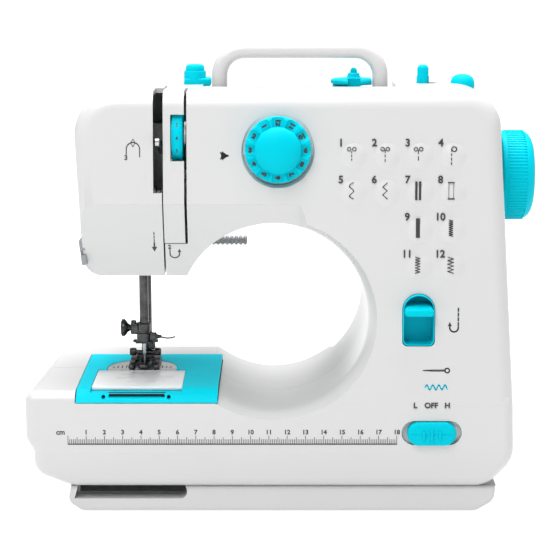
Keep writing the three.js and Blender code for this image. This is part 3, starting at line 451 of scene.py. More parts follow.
def piece(bm, name, material, body=BODY, sharp=35.0, replaces=(), outwards=True, flat=False):
    """A finished piece, riding on a body of the frame."""
    if outwards:
        bmesh.ops.recalc_face_normals(bm, faces=bm.faces)
    bmesh.ops.scale(bm, vec=(MM, MM, MM), verts=bm.verts)
    obj = loose(bm, name)
    obj.data.shade_smooth()
    obj.data.set_sharp_from_angle(angle=math.radians(sharp))
    obj.data.materials.append(material)
    if flat:
        even = obj.modifiers.new("even", "WEIGHTED_NORMAL")
        even.keep_sharp = True
    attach(obj, body)
    if replaces:
        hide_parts(*replaces)
    return obj


def letters(text, size, weight=0.02, thick=PRINT):
    """Printed characters lying flat, facing up, centred on the origin."""
    curve = bpy.data.curves.new("letters", "FONT")
    curve.body = text
    curve.size = size
    curve.extrude = thick
    curve.offset = weight * size
    curve.align_x = "CENTER"
    curve.align_y = "CENTER"
    curve.resolution_u = 4
    obj = bpy.data.objects.new("letters", curve)
    bpy.context.scene.collection.objects.link(obj)
    bpy.context.view_layer.update()
    mesh = bpy.data.meshes.new_from_object(obj.evaluated_get(bpy.context.evaluated_depsgraph_get()))
    bm = bmesh.new()
    bm.from_mesh(mesh)
    bpy.data.objects.remove(obj)
    bpy.data.curves.remove(curve)
    bpy.data.meshes.remove(mesh)
    return bm


def stroke(points, width, thick=PRINT):
    """A printed line through points, lying flat."""
    bars = []
    for (x0, y0), (x1, y1) in zip(points, points[1:]):
        length = math.hypot(x1 - x0, y1 - y0)
        bar = block(-width / 2, length + width / 2, -width / 2, width / 2, -thick, thick)
        bars.append(moved(spun(bar, math.atan2(y1 - y0, x1 - x0), "Z"), (x0, y0, 0)))
    return merged(*bars)


def arc(cx, cy, r, a0, a1, steps=12):
    """Points along part of a circle, between two angles in degrees."""
    angles = [math.radians(a0 + (a1 - a0) * i / steps) for i in range(steps + 1)]
    return [(cx + r * math.cos(a), cy + r * math.sin(a)) for a in angles]


def arrow_head(x, y, angle, size=1.4, thick=PRINT):
    """A printed arrow's point, at a place and facing an angle in degrees."""
    outline = [(0, 0, -thick), (-size, size * 0.5, -thick), (-size, -size * 0.5, -thick)]
    bm = thickened(outline, (0, 0, 2 * thick))
    return moved(spun(bm, math.radians(angle), "Z"), (x, y, 0))


def printed(bm, x, z, where="arm"):
    """Lays a flat print upright on the arm's front, under the head's edge, or on the base's front."""
    tilt = {"arm": -LEAN_ANGLE, "under": UNDER_ANGLE, "base": 0.0}[where]
    y = {
        "arm": front_y(z),
        "under": CREASE_FRONT + math.tan(UNDER_ANGLE) * (CREASE - z),
        "base": BASE_FRONT,
    }[where]
    return moved(spun(bm, math.pi / 2 + tilt, "X"), (x, y, z))


def dress(names, material):
    """Gives the frame's own parts a finish."""
    for name in names.split():
        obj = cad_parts[name]
        obj.data.materials.clear()
        obj.data.materials.append(material)
        obj.data.shade_smooth()
        obj.data.set_sharp_from_angle(angle=math.radians(40))


# ---------------------------------------------------------------- body
UPPER = [
    (126.6, ARM_LOW - 8, 0), (116.6, ARM_TOP, 20), (-114.6, ARM_TOP, 24), (-109, HEAD_BOTTOM, 9.5),
    (THROAT_X, HEAD_BOTTOM, 0), (THROAT_X, ARM_LOW - 8, 0),
]
BASE = [
    (-142, BED_TOP, 6.4), (-142, 45, 6.4), (-138, 38.5, 6.4), (-138, 25, 10), (-117, BASE_BOTTOM - 0.6, 14),
    (113, BASE_BOTTOM - 0.6, 14), (127, 33, 16), (125.6, BED_TOP, 6.4),
]


def leaned(bm):
    """Leans the front and rear faces inwards as they rise."""
    for v in bm.verts:
        t = (v.co.z - ARM_LOW) / (ARM_TOP - ARM_LOW)
        low, top = (FRONT_LOW, FRONT_TOP) if v.co.y < 0 else (REAR_LOW, REAR_TOP)
        v.co.y *= (low + (top - low) * t) / low
    return bm


def tucked(bm):
    """Curves the base's lower front and rear inwards, and narrows the bed's left end towards the rear."""
    for z in (44, 38, 33, 28, 24, 20):
        everything = bm.verts[:] + bm.edges[:] + bm.faces[:]
        bmesh.ops.bisect_plane(bm, geom=everything, plane_co=(0, 0, z), plane_no=(0, 0, 1))
    for v in bm.verts:
        drop = max(0.0, (46 - v.co.z) / 29)
        v.co.y *= 1 - 0.09 * drop * drop
        if v.co.x < -90:
            v.co.x += 7.5 * (v.co.y - BASE_FRONT) / 117 * min(1.0, (-90 - v.co.x) / 40)
    return bm


def whole_body(inset):
    """The body as one block; an inset gives the hollow inside the walls."""
    look = bpy.context.scene.sewing_look
    edge = 3.0 if inset else look.edge_round / MM
    upper = leaned(slab(UPPER, FRONT_LOW + inset, REAR_LOW - inset, edge, 12, inset))
    base = tucked(slab(BASE, BASE_FRONT + inset, BASE_REAR - inset, min(edge, 6.0), 8, inset))
    r = THROAT_R + inset
    throat = rod("y", -80, 80, r, at=(THROAT_X, 0, THROAT_Z), sides=96)
    flare = [
        (0, -66), (62.5 + inset, -66), (60 + inset, -60 + inset), (57.4 + inset, -54.5 + inset),
        (55 + inset, -50 + inset), (53.2 + inset, -46.5 + inset), (r + 0.3, -43 + inset),
        (r - 0.5, -38 + inset), (0, -38 + inset),
    ]
    rim = turned("y", flare, steps=96)
    for v in rim.verts:
        v.co.z += 6.5 * max(0.0, (-43 - v.co.y) / 22)
        if v.co.x < 0 and v.co.z > 0:
            v.co.x *= 0.95
    moved(rim, (THROAT_X, 0, THROAT_Z))
    slope = (CREASE - HEAD_BOTTOM) / (HEAD_FRONT_BOTTOM - CREASE_FRONT)
    back = HEAD_FRONT_BOTTOM + inset + 12 / slope
    wedge = block(-150, 9, -90, back, HEAD_BOTTOM - 12, CREASE)
    for v in wedge.verts:
        if v.co.y > -80 and v.co.z > CREASE - 1:
            v.co.y = CREASE_FRONT + inset
        if v.co.x > 0 and v.co.y < -80:
            v.co.x += 34
    below = block(-28, 60, -95, 95, 90, HEAD_BOTTOM + 3)
    return cut(joined(upper, base), throat, rim, cut(wedge, below))


def recess(grow):
    """The hollow in the arm's top that the folded handle lies in."""
    return block(-45 - grow, 63 + grow, -5 - grow, 90, 222 - grow, 262)


def stadium(x, z, width, height, y0, y1, round_by=0.0):
    """A bar with half-round ends, made thick along Y."""
    r = min(width, height) / 2 - 0.01
    left, right, low, high = x - width / 2, x + width / 2, z - height / 2, z + height / 2
    corners = [(left, low, r), (right, low, r), (right, high, r), (left, high, r)]
    return slab(corners, y0, y1, round_by, 12, edge_steps=4)


def pocket(grow, y0, y1, round_by=0.0):
    """The reverse lever's opening, round at the top."""
    x, z, w, h = POCKET_X, POCKET_Z, 8.6 + grow, 14.1 + grow
    corners = [(x - w, z - h, 3), (x + w, z - h, 3), (x + w, z + h, w - 0.05), (x - w, z + h, w - 0.05)]
    return slab(corners, y0, y1, round_by, 12, edge_steps=4)


class SEWING_OT_body(Step, bpy.types.Operator):
    """Builds the two body shells, the head's face cover and the strip between the thread channels"""

    bl_idname = "sewing.body"
    bl_label = "Body shells"

    def build(self, f):
        outer = whole_body(0.0)
        mouth = block(-129, 105, -45, 48, 12, 23)
        hollow = cut(whole_body(WALL), recess(WALL))
        outer_copy = outer.copy()
        shell = cut(outer, recess(0.0), hollow, mouth)
        bars = block(-90, -70, -5, 22, 128, 140, 2)
        shaft = rod("x", 100, 140, 5.5, at=(0, 0, WHEEL_Z))
        bed = block(-113.9, -35.7, -45, 33.3, 64, 77)
        step = block(-113.9, -35.7, -60, -44, 65.8, 77)
        lamp = rod("z", 127, 140, 4.8, at=(-97, 6, 0))
        shared = [bars, shaft, bed, lamp]
        dial_at = (DIAL_X, 0, DIAL_Z)
        seat = rod("y", -41.6, -37, DIAL_R + 3, at=dial_at)
        dish = [
            (0, -70), (21.5, -70), (21.5, -47), (DIAL_R + 1.4, -43.9), (DIAL_R + 0.9, -43.2),
            (DIAL_R + 0.9, -42.1), (0, -42.1),
        ]
        front = cut(
            joined(met(shell.copy(), block(-200, 200, -100, -0.1, -10, 300)), seat),
            *shared, step,
            turned("y", dish, dial_at, 72),
            rod("y", -70, -20, 5, at=dial_at),
            pocket(0.3, -70, -30),
            stadium(SWITCH_X, SWITCH_Z, 33, 13.6, -70, -50),
        )
        left = block(-200, SLOT_SEAM, -100, 0, 122, 300)
        seam = block(-200, SLOT_SEAM + 0.9, -100, 0, 122, 300)
        slot = block(SLOT_LEFT - 0.4, SLOT_SEAM + 5, -90, SLOT_BACK, SLOT_LOW, SLOT_HIGH)
        face = cut(met(front.copy(), left), slot)
        channel = block(SLOT_SEAM - 5, SLOT_RIGHT + 0.5, -90, SLOT_BACK, STRIP_LOW, 262)
        front = cut(front, seam, channel)
        rear = cut(
            met(shell, block(-200, 200, 0.1, 100, -10, 300)),
            *shared,
            rod("x", -49, 67, 2.6, at=(0, HANDLE_Y, HANDLE_Z), sides=24),
            rod("y", 30, 70, 4, at=(-64, 0, 150)),
            rod("z", 200, 240, 3.8, at=(38.8, 10, 0)),
            block(75.7, 87.6, 16.3, 23.7, 220, 240, 3.4, 6),
            rod("x", 112, 140, 4.3, at=(0, 26, 52)),
            rod("x", 112, 140, 4.3, at=(0, 26, 36)),
        )
        groove = block(SLOT_SEAM + 0.7, SLOT_RIGHT - 0.9, -90, SLOT_BACK - 0.3, STRIP_LOW + 0.3, 262)
        window = block(-60.9, -53.5, -90, 0, 196.9, 221.9, 0.5, 2)
        strip = moved(cut(met(cut(outer_copy, whole_body(3.2)), groove), window), (0, -0.5, 0.2))
        skins = {"front_shell": front, "rear_shell": rear, "face_cover": face, "channel_strip": strip}
        for node, skin in skins.items():
            piece(skin, node + "_skin", f["white"], replaces=[node], outwards=False, flat=True)
        for tool in (left, seam, slot, channel, groove, window, step, *shared):
            tool.free()


class SEWING_OT_pedestal(Step, bpy.types.Operator):
    """Builds the pedestal, the drawer that slides out of it, and its feet"""

    bl_idname = "sewing.pedestal"
    bl_label = "Pedestal and drawer"

    def build(self, f):
        corners = [(-118, 16.8, 0), (-119.5, 7.5, 5), (-112, 2, 7), (107, 2, 7), (117, 8, 6), (118, 16.8, 0)]
        base = slab(corners, -50, 52, 2.4, 10, edge_steps=5)
        bay = block(-132, -48, -38.6, 40.6, 4, 22)
        finger = slab([(-116, 9.6, 0), (-53.5, 9.6, 3.6), (-53.5, 17.3, 3.6), (-112, 24, 0)], -56, -37, 0, 6)
        skin = cut(base, bay, finger)
        piece(skin, "pedestal_skin", f["base"], replaces=["pedestal"], outwards=False, flat=True)
        bottom = block(-114.5, -52, -36, 38, 6, 40, 1.5)
        grip = block(-119.5, -116.5, -18, 20, 8, 13.5, 1)
        opening = block(-114, -54.5, -42, -33, 9.8, 20)
        tray = cut(block(-118, -50, -38, 40, 4.3, 16.4, 1.2), bottom, grip, opening)
        piece(tray, "drawer_tray", f["base"], "storage_drawer", replaces=["drawer"], outwards=False)
        dress("foot_front_left foot_front_right foot_rear_left foot_rear_right", f["rubber"])


class SEWING_OT_bed(Step, bpy.types.Operator):
    """Builds the bed cover with its folded apron, the clear slide cover and the needle plate"""

    bl_idname = "sewing.bed"
    bl_label = "Bed plate"

    def build(self, f):
        side = [
            (33, 72.3), (-44.6, 72.3), (-47.6, 72), (-50.4, 71.2), (-53.2, 69.7), (-55.4, 67.9),
            (-57.2, 66.1), (-46, 66.1), (-44.5, 69.8), (33, 69.8),
        ]
        cover = thickened([(COVER_LEFT, y, z) for y, z in side], (COVER_WIDTH, 0, 0))
        bmesh.ops.recalc_face_normals(cover, faces=cover.faces)
        soften(cover, 0.45, 2, 50)
        disc = rod("z", 60, 80, 20.2, at=(PLATE_X, PLATE_Y, 0), sides=72)
        cover = cut(
            cover,
            block(-106.0, -55.6, -45.4, -6.0, 60, 80, 0.4, 2),
            cut(disc, block(-110, -50, -30, -7, 50, 90)),
            block(-106.0, -55.6, -70, -45.2, 70.3, 80),
            stadium(-80.3, 69.2, 31, 1.9, -62, -50.4, 0),
            rod("y", -62, -49.8, 1.1, at=(-98.5, 0, 68.7)),
            rod("y", -62, -49.8, 1.1, at=(-62.7, 0, 68.7)),
        )
        piece(cover, "bed_cover_skin", f["trim"], replaces=["bed_cover"], outwards=False, flat=True)
        # Black blocks at the floor of the apron's slit and its two holes: painted shade standing in for the
        # dark inside of the bed, not a real part
        painted_slot_shade = [
            block(-96, -64.6, -51, -49.8, 67.6, 70.6),
            block(-99.8, -97.2, -51, -50, 67.4, 70),
            block(-64, -61.4, -51, -50, 67.4, 70),
        ]
        piece(merged(*painted_slot_shade), "bed_cover_slot_shade", f["black"])
        window = block(-105.8, -55.8, -45.2, -6.7, 70.4, 72.2, 0.35, 3)
        piece(window, "bobbin_cover_skin", f["clear"], "slide_cover", replaces=["bobbin_cover"])
        rows = ((-92, 22, -17), (-89, 27, -21), (-94, 31, -25), (-86, 20, -30), (-88, 17, -34))
        ribs = [block(x, x + width, y, y + 0.35, 72.12, 72.26) for x, width, y in rows]
        piece(merged(*ribs), "bobbin_cover_ribs", f["grey"], "slide_cover")
        round_plate = rod("z", 70.4, 72.2, 20, at=(PLATE_X, PLATE_Y, 0), sides=72, round_by=0.3)
        steel = cut(
            met(round_plate, block(-110, -50, -6.1, 30, 60, 80)),
            block(-84, -76, 1.9, 4.1, 60, 80, 1.0, 4),
            block(-86.4, -83.6, 5.5, 18, 60, 80, 0.5, 2),
            block(-76.4, -73.6, 5.5, 18, 60, 80, 0.5, 2),
        )
        piece(steel, "needle_plate_skin", f["plate"], replaces=["needle_plate"], outwards=False)
        marks = []
        for i in range(4):
            for edge in (-97.6 + 2.4 * i, -64.8 - 2.4 * i):
                marks.append(block(edge - 0.3, edge + 0.3, -1.5, 2.2 + i, 72.1, 72.26))
        piece(merged(*marks), "needle_plate_lines", f["ink"])


class SEWING_OT_hand_wheel(Step, bpy.types.Operator):
    """Builds the ribbed hand wheel"""

    bl_idname = "sewing.hand_wheel"
    bl_label = "Hand wheel"

    def build(self, f):
        at = (0, 0, WHEEL_Z)
        profile = [
            (4.3, 121.2), (23.6, 121.2), (24.5, 121.7), (24.9, 122.6), (24.9, 133), (24.6, 134.6),
            (23.9, 136.1), (22.7, 137.5), (21, 138.6), (18.8, 139.4), (16.5, 139.5), (15.2, 138.8),
            (14.4, 137.4), (8, 137), (7, 138), (5.5, 138.2), (4.3, 138), (4.3, 121.2),
        ]
        wheel = turned("x", profile, at, 96)
        ribs = ringed(WHEEL_RIBS, lambda: block(124, 134.6, -0.42, 0.42, 24.2, 25.2, 0.2, 2), "X", at)
        piece(merged(wheel, *ribs), "hand_wheel_rim", f["trim"], "top_shaft", replaces=["hand_wheel"])


class SEWING_OT_pattern_dial(Step, bpy.types.Operator):
    """Builds the pattern dial with its scallops and numbers"""

    bl_idname = "sewing.pattern_dial"
    bl_label = "Pattern dial"

    def build(self, f):
        at = (DIAL_X, DIAL_FRONT, DIAL_Z)
        angles = [math.radians(6 * k) for k in range(14, 0, -1)]
        dome = [(12.9 * math.cos(a), -7.4 - 5.9 * math.sin(a)) for a in angles]
        profile = [
            (0, -13.3), *dome, (13, -7.3), (16.9, -7.1), (17.5, -6.6), (17.8, -5.8), (17.9, -1),
            (17.7, 0.4), (4.4, 0.4), (4.4, 14), (0, 14),
        ]
        scoops = ringed(12, lambda: moved(rod("z", 12.4, 20, 3.3, 4.2, sides=24), (0, -8.6, 0)), "Y", at)
        dial = cut(turned("y", profile, at, 96), *scoops)
        piece(
            dial, "pattern_dial_knob", f["trim"], "pattern_knob", sharp=28, replaces=["pattern_dial"],
            outwards=False,
        )
        numbers = []
        for i in range(12):
            a = math.radians(90 + 30 * i)
            label = spun(letters(str(12 if i == 0 else i), 3.8, 0.06, 0.35), a - math.pi, "Z")
            spun(moved(label, (14.9 * math.cos(a), 14.9 * math.sin(a), 0)), math.pi / 2, "X")
            numbers.append(moved(label, (DIAL_X, DIAL_FRONT - 5.05, DIAL_Z)))
        piece(merged(*numbers), "pattern_dial_numbers", f["ink"], "pattern_knob")


class SEWING_OT_tension(Step, bpy.types.Operator):
    """Builds the thread tension wheel"""

    bl_idname = "sewing.tension"
    bl_label = "Tension wheel"

    def build(self, f):
        at = TENSION_AT
        profile = [
            (0, -3.1), (15.2, -3.1), (15.8, -2.7), (16, -2), (16, 2), (15.8, 2.7), (15.2, 3.1), (0, 3.1),
        ]
        grips = []
        for side in (-2.55, 1.85):
            grips += ringed(TENSION_RIBS, lambda: block(side, side + 0.7, -0.3, 0.3, 15.6, 16.35), "X", at)
        wheel = merged(turned("x", profile, at, 96), *grips)
        piece(wheel, "tension_wheel_rim", f["trim"], "tension_wheel", replaces=["tension_dial"])
        marks = []
        for i in range(10):
            label = moved(letters(str(i), 2.9), (0, 0, 16.0))
            marks.append(moved(spun(label, math.pi / 2 + math.radians(26 * (i - 4)), "X"), at))
        piece(merged(*marks), "tension_wheel_numbers", f["ink"], "tension_wheel")


class SEWING_OT_controls(Step, bpy.types.Operator):
    """Builds the reverse lever with its pocket, and the speed switch"""

    bl_idname = "sewing.controls"
    bl_label = "Reverse lever and switch"

    def build(self, f):
        well = cut(pocket(0.0, -53.9, -41, 0.4), pocket(-0.6, -70, -43.2))
        piece(well, "lever_pocket_cup", f["trim"], replaces=["lever_pocket"], outwards=False)
        corners = [(65.6, 113.7, 1.2), (81.2, 113.7, 1.2), (81.2, 119.6, 1.6), (65.6, 119.6, 1.6)]
        paddle = slab(corners, -59.4, -45.6, 1.1, 5, edge_steps=4)
        for v in paddle.verts:
            arch = 1 - ((v.co.x - POCKET_X) / 7.8) ** 2
            if v.co.z < 116 and v.co.y < -50:
                v.co.z += 1.3 - 1.6 * arch
            if v.co.z > 117:
                v.co.z += 0.9 * arch - 1.4 * max(0.0, (-48 - v.co.y) / 11)
        arm = block(70, 76.8, -48.5, -44.8, 115, 118, 0.4)
        lever = joined(paddle, arm)
        piece(
            lever, "reverse_lever_paddle", f["trim"], "reverse_key", replaces=["reverse_lever"],
            outwards=False,
        )
        knob = stadium(SWITCH_X, SWITCH_Z - 0.3, 26.8, 13.2, -59.6, -52.4, 1.9)
        ribs = [
            stadium(SWITCH_X + x, z, 1.5, tall, -60.6, -58.4, 0.4)
            for x, z, tall in ((-4.4, 48.4, 5), (0, 47.8, 8), (4.4, 48.4, 5))
        ]
        piece(merged(knob, *ribs), "speed_switch_knob", f["trim"], "speed_knob", replaces=["speed_switch"])
        slide = block(61.1, 101.1, -54, -52.6, 40.8, 57.6)
        piece(slide, "speed_switch_slide", f["base"], "speed_knob")


class SEWING_OT_handle(Step, bpy.types.Operator):
    """Builds the fold-down carry handle"""

    bl_idname = "sewing.handle"
    bl_label = "Carry handle"

    def build(self, f):
        left, right, low, top, r, corner = -35.7, 54.1, 226.5, 253.4, 4.3, 14.0
        bm = bmesh.new()
        bmesh.ops.create_circle(bm, segments=24, radius=r, cap_ends=False)
        bmesh.ops.scale(bm, vec=(1, 0.9, 1), verts=bm.verts)
        moved(bm, (left, HANDLE_Y, low))
        edges = bm.edges[:]

        def pushed(by):
            """Draws the tube's open end straight on."""
            nonlocal edges
            made = bmesh.ops.extrude_edge_only(bm, edges=edges)
            edges = [g for g in made["geom"] if isinstance(g, bmesh.types.BMEdge)]
            verts = list({v for e in edges for v in e.verts})
            bmesh.ops.translate(bm, vec=by, verts=verts)

        def swept(cent, angle):
            """Carries the tube's open end round a bend."""
            nonlocal edges
            verts = list({v for e in edges for v in e.verts})
            made = bmesh.ops.spin(bm, geom=verts + edges, cent=cent, axis=(0, 1, 0), angle=angle, steps=16)
            edges = [g for g in made["geom_last"] if isinstance(g, bmesh.types.BMEdge)]

        first = edges[:]
        pushed((0, 0, top - corner - low))
        swept((left + corner, HANDLE_Y, top - corner), math.pi / 2)
        pushed((right - left - 2 * corner, 0, 0))
        swept((right - corner, HANDLE_Y, top - corner), math.pi / 2)
        pushed((0, 0, -(top - corner - low)))
        for loop in (first, edges):
            bmesh.ops.edgeloop_fill(bm, edges=loop)
        bmesh.ops.remove_doubles(bm, verts=bm.verts, dist=0.001)
        bmesh.ops.recalc_face_normals(bm, faces=bm.faces)
        ends = ((-47.2, left), (right, 65.2))
        pins = [rod("x", start, end, 2.4, at=(0, HANDLE_Y, HANDLE_Z), sides=24) for start, end in ends]
        bar = merged(bm, *pins)
        piece(bar, "carry_handle_bar", f["white"], "handle", replaces=["carry_handle"], outwards=False)


class SEWING_OT_top_fittings(Step, bpy.types.Operator):
    """Builds the thread guide, the spool seat and pin, and the bobbin winder"""

    bl_idname = "sewing.top_fittings"
    bl_label = "Top fittings"

    def build(self, f):
        top = ARM_TOP
        post = [
            (0, top), (6.2, top), (6.2, top + 6.6), (5.9, top + 7.2), (5.3, top + 7.4), (5.3, top + 8),
            (5.1, top + 9.8), (4.4, top + 10.6), (3, top + 10.9), (0, top + 11),
        ]
        guide = merged(block(-56, -40.9, 9, 21, top - 1, top + 3.4, 1, 3), turned("z", post, (-50, 15, 0)))
        piece(guide, "thread_guide_post", f["trim"], replaces=["thread_guide"])
        dish = [
            (2.2, 214), (3.5, 214), (3.5, 232.8), (4.6, 233.4), (8, 234.2), (12.2, 234.4), (13, 235.2),
            (12.9, 236.6), (12, 237.2), (8, 237.5), (4.4, 237.8), (3.6, 238.6), (3.2, 240.2), (2.4, 240.6),
            (2.2, 240.6), (2.2, 214),
        ]
        notches = block(49.4, 70, -20, 40, 230, 245), block(36, 43, -12, 4.8, 230, 245, 1.2)
        seat = cut(turned("z", dish, SPOOL_AT), *notches)
        corners = [(27.4, 232.8, 0.4), (36.5, 232.4, 0.4), (36.5, 233.4, 0.4), (28.4, 233.9, 0.4)]
        leaf = slab(corners, 4, 15, 0.3, 4, edge_steps=2)
        piece(merged(seat, leaf), "spool_seat_dish", f["trim"], replaces=["spool_seat"], outwards=False)
        profile = [(0, 204), (1.9, 204), (1.9, 241.6), (1.5, 242.8), (0.8, 243.4), (0, 243.4)]
        pin = turned("z", profile, SPOOL_AT, 32)
        piece(pin, "spool_pin_rod", f["trim"], "spool_rod", replaces=["spool_pin"])
        profile = [
            (0, 219), (6, 219), (6, 221.6), (3.2, 221.6), (3.2, 242), (3, 243), (2.4, 243.8), (1.4, 244.3),
            (0, 244.4),
        ]
        spindle = turned("z", profile, WINDER_AT, 40)
        splines = ringed(6, lambda: block(2.9, 3.5, -0.4, 0.4, 226, 238, 0.15, 2), "Z", WINDER_AT)
        spindle = merged(spindle, *splines)
        piece(spindle, "winder_spindle_pin", f["trim"], "winder", replaces=["winder_spindle"])
        profile = [
            (0, top - 4.4), (6.7, top - 4.4), (6.9, top - 1), (6.7, top + 0.8), (5.9, top + 3),
            (4.2, top + 4.3), (2, top + 4.9), (0, top + 5),
        ]
        stop = turned("z", profile, (102, 20, 0), 56)
        piece(stop, "winder_stop_button", f["trim"], replaces=["winder_stop"])


class SEWING_OT_needle_works(Step, bpy.types.Operator):
    """Finishes the needle bar, clamp, presser foot, lifter, cutter and lamp"""

    bl_idname = "sewing.needle_works"
    bl_label = "Needle and presser"

    def build(self, f):
        dress("takeup_lever needle", f["steel"])
        dress("needle_bar presser_bar", f["chrome"])
        profile = [(0, -78), (1.4, -78), (1.4, -75.4), (2, -75.1), (2.1, -73.6), (1.8, -73.2), (0, -73.1)]
        tip = turned("x", profile, (0, 14, 86.4), 24)
        piece(tip, "foot_screw_head", f["dark"], "presser", replaces=["foot_screw"])
        dress("lamp_lens", f["clear"])
        self.clamp(f["dark"])
        self.foot(f["dark"])
        self.lifter(f["grey"])
        corners = [(-112.2, 152.6, 0.6), (-109.2, 153, 0.6), (-107.6, 139.2, 0.6), (-110.6, 138.6, 0.8)]
        hook = slab(corners, -37.2, -24, 0.5, 4, edge_steps=2)
        notch = block(-112, -106, -38, -35.6, 144.5, 147.2)
        piece(cut(hook, notch), "thread_cutter_guard", f["grey"], replaces=["thread_cutter"], outwards=False)

    def clamp(self, material):
        """The clamp round the needle bar, its thread guide of wire, and its thumb screw."""
        x, y = -80.4, 3
        sleeve = [
            (0, 88), (3.6, 88), (4, 88.5), (4, 93.2), (3.5, 93.6), (3.5, 94.2), (4.1, 94.6), (4.1, 98.6),
            (3.6, 99.2), (0, 99.2),
        ]
        collar = [
            turned("z", sleeve, (x, y, 0), 32),
            block(x - 7.4, x - 1, y - 2.4, y + 2.4, 92.6, 99, 0.9, 3),
            rod("z", 97.6, 100.6, 1.5, at=(x - 5.6, y - 0.6, 0), sides=20, round_by=0.4),
            block(x - 4.6, x + 4.8, y - 3.6, y - 2.2, 87.4, 88.6, 0.4, 2),
            block(x + 3.4, x + 7.6, y - 2.2, y + 1, 88.4, 93.4, 0.7, 3),
            block(x + 5.6, x + 6.8, y - 2.6, y - 1.4, 84.4, 90, 0.3, 2),
            rod("x", x + 7, x + 10.4, 1.5, 0.8, at=(0, y - 1, 91.2), sides=20),
        ]
        wire = [(x + 9.6, 91.1), (x + 11.6, 90.5), (x + 13.8, 90.2), (x + 16, 90.4), (x + 18, 91)]
        for (x0, z0), (x1, z1) in zip(wire, wire[1:]):
            link = block(-0.4, math.hypot(x1 - x0, z1 - z0) + 0.3, -0.4, 0.4, -0.4, 0.4, 0.15, 1)
            collar.append(moved(spun(link, -math.atan2(z1 - z0, x1 - x0), "Y"), (x0, y - 1, z0)))
        collar = moved(merged(*collar), (0, 0, -1.2))
        piece(collar, "needle_clamp_collar", material, "needle_assembly", replaces=["needle_clamp"])
        head = [
            (0, -93.8), (4, -93.8), (4.6, -93.2), (4.7, -91.8), (4.2, -91), (2.6, -90), (1.7, -88.6),
            (1.6, -84.5), (0, -84.5),
        ]
        ribs = ringed(20, lambda: block(-93.4, -91.6, -0.22, 0.22, 4.3, 4.95, 0.1, 1), "X", (0, y, 96))
        screw = moved(merged(turned("x", head, (0, y, 96), 32), *ribs), (0.6, 0, -1))
        piece(screw, "clamp_thumb_screw", material, "needle_screw", replaces=["clamp_screw"])

    def foot(self, material):
        """The presser foot: its holder, cross pin, toes and bridge."""
        x, y = -79.2, 14
        foot = [
            block(x - 3, x + 3, y - 3.4, y + 3.6, 79.6, 90, 0.8, 2),
            block(x - 8, x + 6.6, y - 4.4, y - 1.6, 84.6, 86.2, 0.6, 2),
            block(x - 2, x + 4.4, y - 5, y - 2, 80.4, 85, 0.5, 2),
            rod("x", x - 9.4, x + 8.2, 1.2, at=(0, y - 6, 79.4), sides=20),
            block(x - 5.6, x + 4.6, y - 8, y - 4, 75.6, 78.4, 0.8, 2),
            block(x - 9.4, x + 8, 9, 19, 73, 75.6, 0.7, 2),
        ]
        for a in (x - 9.6, x + 4.6):
            cap = [(0, a), (1.9, a), (2.2, a + 0.6), (2.2, a + 3.2), (1.6, a + 3.8), (0, a + 3.8)]
            foot.append(turned("x", cap, (0, y - 6, 79.6), 28))
        for a, b in ((x - 9.6, x - 6.2), (x - 3.4, x + 1.6), (x + 4.8, x + 8.2)):
            foot.append(block(a, b, -6.5, 20, 72.7, 74.9, 0.7, 3))
        piece(merged(*foot), "presser_foot_toes", material, "presser", replaces=["presser_foot"])

    def lifter(self, material):
        """The presser lifter's ribbed grip and its block."""
        grip = [
            rod("x", -66, -21.4, 2.4, 2.1, at=(0, LIFTER_Y, 138), sides=28, round_by=0.6),
            block(-67.6, -61, 44.5, 53, 136, 153, 1.6, 3),
            rod("y", 36, 52, 3.4, at=(-64, 0, 150), sides=28, round_by=0.5),
        ]
        for k in range(11):
            a, b = -23.5 - 2.7 * k, -21.7 - 2.7 * k
            ring = [(0, a), (2.3, a), (2.9, a + 0.5), (2.9, b - 0.5), (2.3, b), (0, b)]
            grip.append(turned("x", ring, (0, LIFTER_Y, 138), 24))
        piece(merged(*grip), "presser_lifter_grip", material, "presser_lever", replaces=["presser_lifter"])


